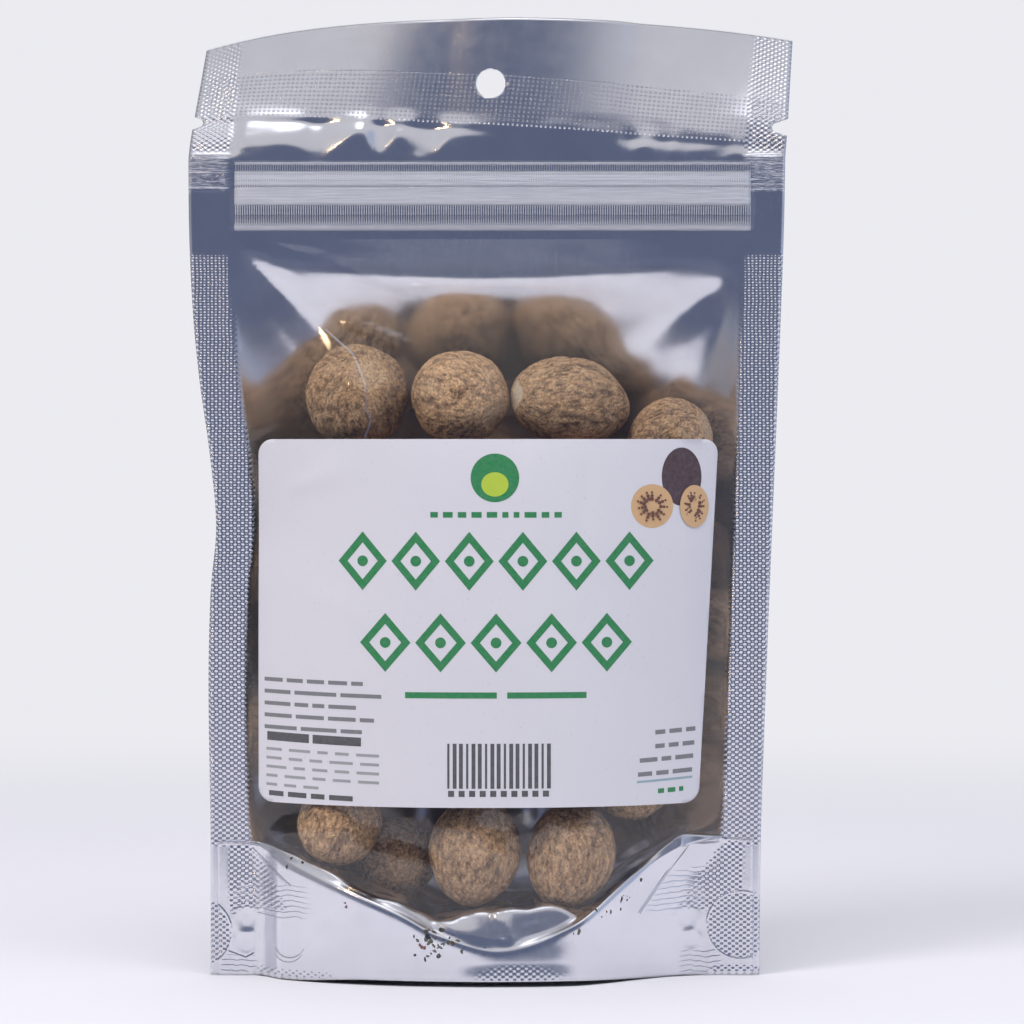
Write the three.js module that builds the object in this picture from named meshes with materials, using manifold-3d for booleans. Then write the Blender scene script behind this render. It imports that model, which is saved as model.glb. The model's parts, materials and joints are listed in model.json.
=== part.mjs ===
// A sealed stand-up pouch of whole nutmegs, filled and standing on its base gusset.
// Units are millimetres. +Z is up, the front of the pouch faces -Y, and the origin is on the
// surface that it stands on, under the middle of its bounding box.
//
// The pouch is one closed body: a flat header with its hang hole and tear notches, a press-to-close
// strip that shows as ribs, flat side seals, a pocket that the nutmegs push out at the front and the
// back, and a skirt round the hollow under the gusset. The label is a thin sheet on the front.

import * as THREE from "three";
import { mergeVertices } from "three/addons/utils/BufferGeometryUtils.js";
import Module from "manifold-3d";

const wasm = await Module();
wasm.setup();

// Driving dimensions of the pouch, measured up and across its flat pattern.
const POUCH_HEIGHT = 210;
const SEAL_WIDTH = 8.5; // flat weld down each side
const SEAL_HALF_THICKNESS = 0.3; // two welded films, half of their embossed thickness
const HEADER_BEND = 178.5; // above this height the header leans back
const HEADER_BEND_LENGTH = 10.5; // the lean comes in over this stretch
const HEADER_SHIFT = 2.4; // sideways drift of the header between its bend and its top edge

// Press-to-close strip.
const ZIP_BOTTOM = 161;
const ZIP_TOP = 177.5;
const ZIP_FLANGE = 0.35; // added to the half thickness between ZIP_BOTTOM and ZIP_TOP
const ZIP_RIB_HEIGHTS = [166.6, 171.4];
const ZIP_RIB_RISE = 0.8;
const ZIP_RIB_SPREAD = 0.9;

// Hang hole and tear notches.
const HOLE_DIAMETER = 6.35;
const HOLE_X = -0.5;
const HOLE_HEIGHT = 194.9;
const NOTCH_DEPTH = 2.8;
const NOTCH_HALF_MOUTH = 1.6;
const NOTCH_TIP = 0.7;
const LEFT_NOTCH_HEIGHT = 186.4;
const RIGHT_NOTCH_HEIGHT = 185.2;

// Hollow under the base gusset.
const SKIRT_WALL = 1.2;
const HOLLOW_LEFT = -45;
const HOLLOW_RIGHT = 38;
const HOLLOW_FOLD_RISE = 1; // the gusset's fold is this much above its edges
const HOLLOW_ROOF = [
  [HOLLOW_LEFT, 25], [-35, 20.4], [-26, 15.8], [-12, 10.1], [0, 12.3], [19, 11.4], [29, 19.5], [HOLLOW_RIGHT, 26],
];

// Foot of the pouch: its welded corners stay flat, so that it starts to swell further in.
const FOOT_LOW = 22; // all of it below this height
const FOOT_HIGH = 38; // none of it above this one
const FOOT_REACH_LEFT = 0.15; // how far in, as a share of the pocket's half width
const FOOT_REACH_RIGHT = 0.65;

// Label. Its right side wraps round the pouch a little further at the bottom than at the top.
const LABEL_LEFT = -51;
const LABEL_TOP_RIGHT = 49;
const LABEL_BOTTOM_RIGHT = 44.6;
const LABEL_TOP = 117.1;
const LABEL_BOTTOM = 38.4;
const LABEL_CORNER = 3.2;
const LABEL_THICKNESS = 0.3;
const LABEL_GAP = 0.3;

const CUT_THROUGH = 60; // a cutter of this length goes right through the pouch

// Cross section of the pocket: its shoulders are squarer with a greater power, its crown flatter
// with a smaller one.
const SHOULDER_POWER = 2.3;
const CROWN_POWER = 0.85;

// Stations up the pouch: [height, value].
const LEFT_EDGE = [
  [0, -61.8], [30, -61.8], [64, -62.2], [84, -61.7], [98, -60.5],
  [114, -61.9], [130, -64.1], [146, -65.6], [168, -66.4], [POUCH_HEIGHT, -66.2],
];
const RIGHT_EDGE = [[0, 58.3], [30, 58.6], [64, 59.7], [98, 61], [130, 62.3], [168, 63.6], [POUCH_HEIGHT, 64]];
const FRONT_SWELL = [
  [0, 19.4], [30, 20.1], [52, 20.2], [76, 19.7], [100, 18.4],
  [118, 16], [132, 11.8], [144, 6.4], [153, 2.6], [ZIP_BOTTOM, 0],
];
const BACK_SWELL = [
  [0, 19.4], [30, 20.5], [60, 20.2], [100, 18.4], [122, 16],
  [138, 11.6], [149, 6], [156, 2.2], [ZIP_BOTTOM, 0],
];

// Lean of the header: least at LEAN_MIDDLE_X, more towards each corner.
const LEAN_MIDDLE_X = -6;
const LEAN_MIDDLE = THREE.MathUtils.degToRad(10);
const LEAN_LEFT = THREE.MathUtils.degToRad(38);
const LEAN_RIGHT = THREE.MathUtils.degToRad(34);
const LEAN_POWER = 1.8;

// Grid of the pouch: rows up it, columns across the seals and the pocket.
const ROWS = [
  0, 4, 9, 15, 22, 30, 40, 52, 64, 76, 88, 98, 107, 116, 124, 131, 137, 143, 148, 153, 157, ZIP_BOTTOM,
  162.5, 164.4, 165.5, 166.6, 167.7, 169, 170.3, 171.4, 172.5, 174, 176, ZIP_TOP, HEADER_BEND, 181,
  183.7, 186.4, 189, 192, 196, 200.5, 205, POUCH_HEIGHT,
];
const SEAL_COLUMNS = 2;
const POCKET_COLUMNS = 26;
const COLUMN_BUNCHING = 0.55; // 0 gives even columns, 1 the most bunched towards the seals

// Smooth curve through [t, value] stations: cubic pieces whose slopes come from the neighbours.
function stationValue(stations, t) {
  const last = stations.length - 1;
  if (t <= stations[0][0]) return stations[0][1];
  if (t >= stations[last][0]) return stations[last][1];
  const i = stations.findIndex(([height]) => height > t) - 1;
  const slope = (k) => {
    const [a, b] = [Math.max(k - 1, 0), Math.min(k + 1, last)];
    return (stations[b][1] - stations[a][1]) / (stations[b][0] - stations[a][0]);
  };
  const [t0, v0] = stations[i];
  const [t1, v1] = stations[i + 1];
  const span = t1 - t0;
  const s = (t - t0) / span;
  const start = (1 + 2 * s) * (1 - s) ** 2 * v0 + s * (1 - s) ** 2 * span * slope(i);
  return start + s * s * (3 - 2 * s) * v1 + s * s * (s - 1) * span * slope(i + 1);
}

// Share of the full swell across the pocket: 1 in its middle, 0 at each seal.
function pocketShape(across, height) {
  const s = Math.min(Math.abs(across), 1);
  const full = (1 - s ** SHOULDER_POWER) ** CROWN_POWER;
  const foot = 1 - THREE.MathUtils.smoothstep(height, FOOT_LOW, FOOT_HIGH);
  const reach = across < 0 ? FOOT_REACH_LEFT : FOOT_REACH_RIGHT;
  return full * (1 - foot * (1 - THREE.MathUtils.smoothstep(1 - s, 0, reach)));
}

// Half thickness of the flat parts: welded film, thicker over the press-to-close strip.
function flatHalfThickness(height, across) {
  if (height <= ZIP_BOTTOM || height >= ZIP_TOP || Math.abs(across) >= 1) return SEAL_HALF_THICKNESS;
  const ribs = ZIP_RIB_HEIGHTS.map((rib) => Math.exp(-(((height - rib) / ZIP_RIB_SPREAD) ** 2)));
  return SEAL_HALF_THICKNESS + ZIP_FLANGE + ZIP_RIB_RISE * Math.max(...ribs);
}

function edges(height) {
  return { left: stationValue(LEFT_EDGE, height), right: stationValue(RIGHT_EDGE, height) };
}

// Place across the pocket: -1 at the left seal's inner edge, 1 at the right seal's.
function acrossPocket(x, height) {
  const { left, right } = edges(height);
  return (2 * x - left - right) / (right - left - 2 * SEAL_WIDTH);
}

// Distance of the front (side -1) or the back (side 1) from the pouch's middle plane.
function swell(x, height, side) {
  const across = acrossPocket(x, height);
  if (height >= ZIP_BOTTOM) return flatHalfThickness(height, across);
  const depth = stationValue(side < 0 ? FRONT_SWELL : BACK_SWELL, height);
  return SEAL_HALF_THICKNESS + depth * pocketShape(across, height);
}

// The header leans back above HEADER_BEND, by an angle that grows towards the corners.
function leanAt(x) {
  const [lean, edge] = x < LEAN_MIDDLE_X ? [LEAN_LEFT, LEFT_EDGE] : [LEAN_RIGHT, RIGHT_EDGE];
  const share = (x - LEAN_MIDDLE_X) / (edge.at(-1)[1] - LEAN_MIDDLE_X);
  return LEAN_MIDDLE + (lean - LEAN_MIDDLE) * share ** LEAN_POWER;
}

function bendHeader(x, height, offset) {
  if (height <= HEADER_BEND) return new THREE.Vector3(x, offset, height);
  const above = height - HEADER_BEND;
  const lean = leanAt(x);
  const turned = Math.min(above, HEADER_BEND_LENGTH);
  const angle = (lean * turned) / HEADER_BEND_LENGTH;
  const radius = HEADER_BEND_LENGTH / lean;
  const straight = above - turned;
  const back = radius * (1 - Math.cos(angle)) + straight * Math.sin(angle);
  const up = radius * Math.sin(angle) + straight * Math.cos(angle);
  const drift = (HEADER_SHIFT * above) / (POUCH_HEIGHT - HEADER_BEND);
  return new THREE.Vector3(
    x + drift,
    back + offset * Math.cos(angle),
    HEADER_BEND + up - offset * Math.sin(angle),
  );
}

// Solids: three.js geometry to manifold-3d and back.
function toSolid(geometry) {
  const bare = geometry.index ? geometry.toNonIndexed() : geometry.clone();
  bare.deleteAttribute("normal");
  bare.deleteAttribute("uv");
  const merged = mergeVertices(bare, 1e-4);
  const mesh = new wasm.Mesh({
    numProp: 3,
    vertProperties: new Float32Array(merged.attributes.position.array),
    triVerts: new Uint32Array(merged.index.array),
  });
  return new wasm.Manifold(mesh);
}

function toGeometry(solid) {
  const mesh = solid.getMesh();
  const geometry = new THREE.BufferGeometry();
  geometry.setAttribute("position", new THREE.BufferAttribute(new Float32Array(mesh.vertProperties), 3));
  geometry.setIndex(new THREE.BufferAttribute(new Uint32Array(mesh.triVerts), 1));
  geometry.computeVertexNormals();
  return geometry;
}

// A box of columns by rows, each corner sent to place(column, row, side); side is -1 in front.
function bentSlab(columns, rows, place) {
  const slab = new THREE.BoxGeometry(columns, 2, rows, columns, 1, rows);
  const corner = slab.attributes.position;
  for (let i = 0; i < corner.count; i++) {
    const column = Math.round(corner.getX(i) + columns / 2);
    const row = Math.round(corner.getZ(i) + rows / 2);
    const at = place(column, row, Math.sign(corner.getY(i)));
    corner.setXYZ(i, at.x, at.y, at.z);
  }
  return toSolid(slab);
}

// x of a grid column: even steps in the seals, steps that close up towards them in the pocket.
function columnX(column, height) {
  const { left, right } = edges(height);
  const fromRight = SEAL_COLUMNS * 2 + POCKET_COLUMNS - column;
  if (column <= SEAL_COLUMNS) return left + (SEAL_WIDTH * column) / SEAL_COLUMNS;
  if (fromRight <= SEAL_COLUMNS) return right - (SEAL_WIDTH * fromRight) / SEAL_COLUMNS;
  const t = (column - SEAL_COLUMNS) / POCKET_COLUMNS;
  const even = 2 * t - 1;
  const bunched = -Math.cos(Math.PI * t);
  const pocketHalf = (right - left) / 2 - SEAL_WIDTH;
  return (left + right) / 2 + pocketHalf * (even + COLUMN_BUNCHING * (bunched - even));
}

function pouchBody() {
  return bentSlab(SEAL_COLUMNS * 2 + POCKET_COLUMNS, ROWS.length - 1, (column, row, side) => {
    const height = ROWS[row];
    const x = columnX(column, height);
    return bendHeader(x, height, side * swell(x, height, side));
  });
}

// The space between the front and the back skirt, up to the gusset.
function gussetHollow() {
  const columns = 24;
  const below = -2;
  const levels = [-1, -0.75, -0.35, 0, 0.35, 0.75, 1];
  const slab = new THREE.BoxGeometry(columns, levels.length - 1, 1, columns, levels.length - 1, 1);
  const corner = slab.attributes.position;
  for (let i = 0; i < corner.count; i++) {
    const x = THREE.MathUtils.lerp(HOLLOW_LEFT, HOLLOW_RIGHT, corner.getX(i) / columns + 0.5);
    const level = levels[Math.round(corner.getY(i) + (levels.length - 1) / 2)];
    const skirt = swell(x, 0, level < 0 ? -1 : 1) - SKIRT_WALL;
    const roof = stationValue(HOLLOW_ROOF, x) + HOLLOW_FOLD_RISE * (1 - level * level);
    corner.setXYZ(i, x, level * skirt, corner.getZ(i) > 0 ? roof : below);
  }
  return toSolid(slab);
}

function hangHole() {
  const drill = new THREE.CylinderGeometry(HOLE_DIAMETER / 2, HOLE_DIAMETER / 2, CUT_THROUGH, 32);
  return toSolid(drill.translate(HOLE_X, 0, HOLE_HEIGHT));
}

// A wedge with a round tip that bites inwards from one edge; inward is 1 at the left, -1 at the right.
function tearNotch(edgeX, height, inward) {
  const outside = 2; // the wedge starts this far outside the edge
  const tipCentre = NOTCH_DEPTH - NOTCH_TIP;
  const slope = (NOTCH_HALF_MOUTH - NOTCH_TIP) / tipCentre;
  const start = NOTCH_HALF_MOUTH + outside * slope;
  const outline = new THREE.Shape();
  outline.moveTo(-outside, -start);
  outline.lineTo(tipCentre, -NOTCH_TIP);
  outline.absarc(tipCentre, 0, NOTCH_TIP, -Math.PI / 2, Math.PI / 2, false);
  outline.lineTo(-outside, start);
  const wedge = new THREE.ExtrudeGeometry(outline, { depth: CUT_THROUGH, bevelEnabled: false, curveSegments: 6 });
  wedge.translate(0, 0, -CUT_THROUGH / 2).rotateX(Math.PI / 2);
  if (inward < 0) wedge.rotateZ(Math.PI);
  return toSolid(wedge.translate(edgeX, 0, height));
}

function pouch() {
  const leftNotch = tearNotch(edges(LEFT_NOTCH_HEIGHT).left, LEFT_NOTCH_HEIGHT, 1);
  const rightNotch = tearNotch(edges(RIGHT_NOTCH_HEIGHT).right, RIGHT_NOTCH_HEIGHT, -1);
  return pouchBody()
    .subtract(gussetHollow())
    .subtract(hangHole())
    .subtract(leftNotch)
    .subtract(rightNotch);
}

// A rectangle with round corners, whose right side leans.
function labelOutline() {
  const lean = Math.atan((LABEL_TOP_RIGHT - LABEL_BOTTOM_RIGHT) / (LABEL_TOP - LABEL_BOTTOM));
  const low = LABEL_BOTTOM + LABEL_CORNER;
  const high = LABEL_TOP - LABEL_CORNER;
  const left = LABEL_LEFT + LABEL_CORNER;
  const rightAt = (height) =>
    LABEL_BOTTOM_RIGHT + (height - LABEL_BOTTOM) * Math.tan(lean) - LABEL_CORNER / Math.cos(lean);
  const outline = new THREE.Shape();
  outline.absarc(rightAt(high), high, LABEL_CORNER, -lean, Math.PI / 2, false);
  outline.absarc(left, high, LABEL_CORNER, Math.PI / 2, Math.PI, false);
  outline.absarc(left, low, LABEL_CORNER, Math.PI, 1.5 * Math.PI, false);
  outline.absarc(rightAt(low), low, LABEL_CORNER, -Math.PI / 2, -lean, false);
  return outline;
}

// The label follows the front of the pocket: a bent sheet, cut to the outline.
function label() {
  const columns = 32;
  const rows = 14;
  const margin = 1; // the sheet reaches this far outside the outline
  const sheet = bentSlab(columns, rows, (column, row, side) => {
    const x = THREE.MathUtils.lerp(LABEL_LEFT - margin, LABEL_TOP_RIGHT + margin, column / columns);
    const z = THREE.MathUtils.lerp(LABEL_BOTTOM - margin, LABEL_TOP + margin, row / rows);
    const proud = LABEL_GAP + (side < 0 ? LABEL_THICKNESS : 0);
    return new THREE.Vector3(x, -swell(x, z, -1) - proud, z);
  });
  const cutter = new THREE.ExtrudeGeometry(labelOutline(), {
    depth: CUT_THROUGH, bevelEnabled: false, curveSegments: 8,
  });
  return sheet.intersect(toSolid(cutter.rotateX(Math.PI / 2)));
}

function part(name, solid, material) {
  const mesh = new THREE.Mesh(toGeometry(solid), new THREE.MeshStandardMaterial(material));
  mesh.name = name;
  return mesh;
}

const pack = new THREE.Group();
pack.add(part("pouch", pouch(), { color: 0xb9bcc6, metalness: 0.85, roughness: 0.32 }));
pack.add(part("label", label(), { color: 0xdcdae0, metalness: 0, roughness: 0.6 }));

export default pack;
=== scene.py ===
"""A sealed stand-up pouch of whole nutmegs: clear front film, silver back film and base gusset, a
press-to-close strip, a white label, the nutmegs and a few herb flakes.

Shapes are worked out in millimetres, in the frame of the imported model, and become metres where a
mesh is written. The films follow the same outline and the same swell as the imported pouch.
"""

import json
import math
import random

import bpy
import numpy as np
from mathutils import Euler, Matrix, Vector, noise
from mathutils.bvhtree import BVHTree

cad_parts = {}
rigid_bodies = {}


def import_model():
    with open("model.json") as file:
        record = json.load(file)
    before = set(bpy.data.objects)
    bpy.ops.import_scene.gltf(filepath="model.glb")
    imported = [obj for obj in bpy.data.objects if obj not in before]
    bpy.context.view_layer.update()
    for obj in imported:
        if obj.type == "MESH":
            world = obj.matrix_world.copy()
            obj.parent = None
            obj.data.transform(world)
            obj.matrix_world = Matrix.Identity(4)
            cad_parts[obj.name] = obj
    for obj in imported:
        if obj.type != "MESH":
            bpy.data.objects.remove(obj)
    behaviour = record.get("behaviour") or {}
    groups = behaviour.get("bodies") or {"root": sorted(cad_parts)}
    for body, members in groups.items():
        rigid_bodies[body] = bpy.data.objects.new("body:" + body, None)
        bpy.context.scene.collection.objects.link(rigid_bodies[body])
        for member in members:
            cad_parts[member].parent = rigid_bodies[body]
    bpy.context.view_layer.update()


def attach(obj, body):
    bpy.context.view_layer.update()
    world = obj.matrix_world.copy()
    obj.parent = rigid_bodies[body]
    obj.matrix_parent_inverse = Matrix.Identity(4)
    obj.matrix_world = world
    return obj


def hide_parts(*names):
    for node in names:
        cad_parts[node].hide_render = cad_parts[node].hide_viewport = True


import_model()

MM = 0.001

# The pouch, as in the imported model's source.
POUCH_HEIGHT = 210
SEAL_WIDTH = 8.5
SEAL_HALF_THICKNESS = 0.3
HEADER_BEND = 178.5
HEADER_BEND_LENGTH = 10.5
HEADER_SHIFT = 2.4
ZIP_BOTTOM = 161
ZIP_TOP = 177.5
ZIP_FLANGE = 0.35
ZIP_RIB_HEIGHTS = (166.6, 171.4)
ZIP_RIB_RISE = 0.8
ZIP_RIB_SPREAD = 0.9
HOLE_DIAMETER = 6.35
HOLE_X = -0.5
HOLE_HEIGHT = 194.9
NOTCH_DEPTH = 2.8
NOTCH_HALF_MOUTH = 1.6
NOTCH_TIP = 0.7
LEFT_NOTCH_HEIGHT = 186.4
RIGHT_NOTCH_HEIGHT = 185.2
LABEL_LEFT = -51
LABEL_TOP_RIGHT = 49
LABEL_BOTTOM_RIGHT = 44.6
LABEL_TOP = 117.1
LABEL_BOTTOM = 38.4
LABEL_CORNER = 3.2
LABEL_THICKNESS = 0.3
LABEL_GAP = 0.3
SHOULDER_POWER = 2.3
CROWN_POWER = 0.85
HOLLOW_FOLD_RISE = 1
FOOT_LOW = 22
FOOT_HIGH = 38
FOOT_REACH_LEFT = 0.15
FOOT_REACH_RIGHT = 0.65
LEFT_EDGE = [
    (0, -61.8), (30, -61.8), (64, -62.2), (84, -61.7), (98, -60.5),
    (114, -61.9), (130, -64.1), (146, -65.6), (168, -66.4), (POUCH_HEIGHT, -66.2),
]
RIGHT_EDGE = [(0, 58.3), (30, 58.6), (64, 59.7), (98, 61), (130, 62.3), (168, 63.6), (POUCH_HEIGHT, 64)]
FRONT_SWELL = [
    (0, 19.4), (30, 20.1), (52, 20.2), (76, 19.7), (100, 18.4),
    (118, 16), (132, 11.8), (144, 6.4), (153, 2.6), (ZIP_BOTTOM, 0),
]
BACK_SWELL = [
    (0, 19.4), (30, 20.5), (60, 20.2), (100, 18.4), (122, 16),
    (138, 11.6), (149, 6), (156, 2.2), (ZIP_BOTTOM, 0),
]
LEAN_MIDDLE_X = -6
LEAN_MIDDLE = math.radians(10)
LEAN_LEFT = math.radians(38)
LEAN_RIGHT = math.radians(34)
LEAN_POWER = 1.8

# Films.
FILM_THICKNESS = 0.12
FILM_INSET = 0.08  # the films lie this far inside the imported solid's faces
FILM_COLUMNS = 150
FILM_ROWS = 300
ROW_SHARES = ((0, 0), (0.15, 30), (0.5, 158), (0.83, 180), (1, POUCH_HEIGHT))  # closest on the strip
FRONT, BACK = -1, 1
BACK_FILM_SWELL = [
    # the back film hangs straight down from the strip before it swells
    (0, 19.4), (30, 20.5), (60, 20.2), (100, 18.4), (122, 16),
    (130, 12.6), (137, 9.2), (149, 3.6), (156, 0.3), (158.5, 0.05), (ZIP_BOTTOM, 0),
]
STRIP_ENDS = (-56.4, 56.2)
STRIP_PROFILE = [
    # height, and how far the front film stands out over the press-to-close strip
    (ZIP_BOTTOM, 0), (162.4, 0.3), (163, 0.4), (163.3, 0.85), (165, 1.05), (166.5, 1.3), (168.3, 1.3),
    (168.6, 1.22), (170, 0.95), (172, 0.6), (172.2, 0.42), (172.45, 0.56), (174, 0.3), (175.8, 0.03),
    (176.9, 0), (177.2, 0.3), (177.5, 0.28), (177.9, 0),
]
NUT_CLEARANCE = 0.45
FILM_INDEX = 1.36
PAPER_SPECULAR = 0.4
# Curved scratch on the front film: x and height.
SCRATCH = [(-36.2, 140.8), (-30.2, 135.5), (-27.5, 129.2), (-27.3, 123.4), (-26.2, 121.2), (-27.4, 117.5)]

# Rows of dashes across the strip: lowest and highest height, and how strong; dark ones are below 0.
STRIP_DASH = 0.51
STRIP_DASH_ROWS = (
    (175.8, 176.9, 0.35), (173.2, 173.7, -0.3), (174.7, 175.1, -0.3), (171.9, 172.3, -0.8), (166, 168, 0.7),
    (164.1, 165.9, 0.35),
)

# Embossing. The seals have a staggered lattice of dashes, the heat seal below the hang hole a square
# lattice of dots, and both are pressed into the films.
WEAVE_ACROSS = 1.65
WEAVE_UP = 1.18
WEAVE_DEPTH = 0.075
DOT_ACROSS = 1.04
DOT_UP = 1.0
DOT_DEPTH = 0.16
RIPPLE_UP = 1.15
RIPPLE_DEPTH = 0.055
SMEAR_DEPTH = 0.5
# Lines pressed into the base: places (x, height), width, rise.
PRESSED_LINES = [
    ([(-61.5, 28.6), (-53.1, 29)], 0.45, 0.09), ([(-52.5, 27.5), (-43.9, 20.3)], 0.4, 0.12),
    ([(41.5, 30.4), (58.4, 29.2)], 0.45, 0.09), ([(31.7, 14.4), (43.3, 29.8)], 0.4, 0.12),
    ([(31.9, 13.9), (31.9, 2.4)], 0.7, 0.05), ([(-57.8, 5.4), (-54.1, 4), (-52.5, 4.9)], 0.4, -0.07),
]
# Round shapes pressed into the base: middle, half width, half height, width of the rim, rise. The
# first two are the gusset's punched circles.
PRESSED_ROUNDS = [
    (-64.8, 9.1, 7.6, 7.6, 0.4, 0.1), (54.2, 10.8, 7.4, 7.4, 0.4, 0.1),
    (-53.85, 12.1, 2.65, 3, 1.6, 0.075), (-53.85, 6.55, 2.65, 2.55, 1.6, 0.055),
    (42.35, 12.25, 2.45, 2.65, 1.5, 0.05), (43.2, 7.3, 2.1, 2.1, 1.4, 0.05),
]
# Arcs pressed into the left corner: middle, radius, height where they end, width, rise.
PRESSED_ARCS = [(-44.2, 8.4, 3.5, 7.3, 0.35, -0.07), (-44.5, 7.4, 3.5, 6.2, 0.3, -0.05)]
HEAT_SEAL_HEIGHT = 191.3  # at HEAT_SEAL_X, and it drops towards the right
HEAT_SEAL_X = 1.5
HEAT_SEAL_SLOPE = -0.065
HEAT_SEAL_HALF = 5.65
CUT_LENGTH = 60  # of the cutters, through both films


# ---- shape of the pouch -----------------------------------------------------------------------

def station_value(stations, t):
    """Smooth curve through (t, value) stations: cubic pieces whose slopes come from the neighbours."""
    at = np.array([s[0] for s in stations], float)
    value = np.array([s[1] for s in stations], float)
    before = np.maximum(np.arange(len(at)) - 1, 0)
    after = np.minimum(np.arange(len(at)) + 1, len(at) - 1)
    slope = (value[after] - value[before]) / (at[after] - at[before])
    t = np.clip(t, at[0], at[-1])
    i = np.clip(np.searchsorted(at, t, side="right") - 1, 0, len(at) - 2)
    span = at[i + 1] - at[i]
    s = (t - at[i]) / span
    start = (1 + 2 * s) * (1 - s) ** 2 * value[i] + s * (1 - s) ** 2 * span * slope[i]
    return start + s * s * (3 - 2 * s) * value[i + 1] + s * s * (s - 1) * span * slope[i + 1]


def smoothstep(x, low, high):
    t = np.clip((x - low) / (high - low), 0, 1)
    return t * t * (3 - 2 * t)


def band(value, low, low_end, high_start, high):
    """1 between low_end and high_start, 0 outside low and high."""
    return smoothstep(value, low, low_end) * (1 - smoothstep(value, high_start, high))


def edges(height):
    return station_value(LEFT_EDGE, height), station_value(RIGHT_EDGE, height)


def across_pocket(x, height):
    """-1 at the left seal's inner edge, 1 at the right seal's."""
    left, right = edges(height)
    return (2 * x - left - right) / (right - left - 2 * SEAL_WIDTH)


def flat_half_thickness(height, across):
    ribs = np.max([np.exp(-(((height - rib) / ZIP_RIB_SPREAD) ** 2)) for rib in ZIP_RIB_HEIGHTS], axis=0)
    on_strip = band(height, ZIP_BOTTOM, ZIP_BOTTOM + 1.2, ZIP_TOP - 0.6, ZIP_TOP)
    on_strip = on_strip * (1 - smoothstep(np.abs(across), 0.985, 1.005))
    return SEAL_HALF_THICKNESS + on_strip * (ZIP_FLANGE + ZIP_RIB_RISE * ribs)


def pocket_shape(across, height):
    """Share of the full swell: 1 in the middle, 0 at each seal, and flatter in the welded corners."""
    s = np.minimum(np.abs(across), 1)
    foot = 1 - smoothstep(height, FOOT_LOW, FOOT_HIGH)
    reach = np.where(across < 0, FOOT_REACH_LEFT, FOOT_REACH_RIGHT)
    return (1 - s**SHOULDER_POWER) ** CROWN_POWER * (1 - foot * (1 - smoothstep(1 - s, 0, reach)))


def swell(x, height, side):
    """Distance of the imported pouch's front or back from its middle plane."""
    across = across_pocket(x, height)
    depth = station_value(FRONT_SWELL if side == FRONT else BACK_SWELL, height)
    shape = pocket_shape(across, height)
    return np.where(
        height >= ZIP_BOTTOM, flat_half_thickness(height, across), SEAL_HALF_THICKNESS + depth * shape
    )


def film_swell(x, height, side):
    """Distance of a film from the middle plane before its folds."""
    across = across_pocket(x, height)
    over_strip = 0 * x
    if side == FRONT:
        depth = station_value(FRONT_SWELL, height)
        left, right = STRIP_ENDS
        ends = band(x, left - 1, left + 0.5, right - 0.5, right + 1)
        over_strip = ends * np.interp(height, *zip(*STRIP_PROFILE))
    else:
        hangs = 4 * np.maximum(1 - ((x + 2) / 50) ** 2, 0) * smoothstep(height, 136, 150)
        depth = station_value(BACK_FILM_SWELL, height + hangs)
    shape = pocket_shape(across, height)
    return SEAL_HALF_THICKNESS + np.where(height >= ZIP_BOTTOM, over_strip, depth * shape)


def bend_header(x, height, offset):
    """Leans the header back, by an angle that grows towards its corners. Returns points as rows."""
    is_left = x < LEAN_MIDDLE_X
    corner = np.where(is_left, LEFT_EDGE[-1][1], RIGHT_EDGE[-1][1])
    share = np.maximum((x - LEAN_MIDDLE_X) / (corner - LEAN_MIDDLE_X), 0)
    lean = LEAN_MIDDLE + (np.where(is_left, LEAN_LEFT, LEAN_RIGHT) - LEAN_MIDDLE) * share**LEAN_POWER
    above = np.maximum(height - HEADER_BEND, 0)
    turned = np.minimum(above, HEADER_BEND_LENGTH)
    angle = lean * turned / HEADER_BEND_LENGTH
    radius = HEADER_BEND_LENGTH / lean
    straight = above - turned
    back = radius * (1 - np.cos(angle)) + straight * np.sin(angle)
    up = radius * np.sin(angle) + straight * np.cos(angle)
    drift = HEADER_SHIFT * above / (POUCH_HEIGHT - HEADER_BEND)
    return np.stack(
        [
            x + drift,
            back + offset * np.cos(angle),
            np.minimum(height, HEADER_BEND) + up - offset * np.sin(angle),
        ],
        axis=-1,
    )


# Folds of the films. A fold runs from one place on the flat pouch to another; its ridge stands out
# by rise millimetres where it is strongest, and a sharp one has straight flanks.
FRONT_FOLDS = [
    # (x, height) start, (x, height) end, half width, rise, sharp
    ((-50, 160.5), (-35.5, 155.7), 1.6, 0.35, True),
    ((-35.5, 155.7), (-7.1, 146.2), 1.7, 0.55, True),
    ((-35.4, 144.7), (-15, 135.5), 1.8, 0.6, True),
    ((-57.4, 158.8), (-34.6, 139.7), 2.2, 0.5, True),
    ((-57, 152), (-53, 124), 2.0, -0.5, False),
    ((54, 155), (45, 126), 3.0, 0.5, False),
    ((53, 148), (50, 118), 2.0, 0.4, False),
    ((-54, 117), (-42, 124), 2.6, 0.5, True),
    ((-53, 82), (-44, 90), 3.0, 1.2, True),
    ((-53, 80), (-45, 68), 3.2, -1.0, True),
    ((50, 100), (44, 112), 3.0, 0.9, False),
    ((50, 70), (45, 84), 3.0, 0.8, False),
    ((-53, 30), (-30, 34), 3.4, 1.0, True),
    ((49, 31), (28, 37), 3.6, 1.0, True),
]
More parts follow.
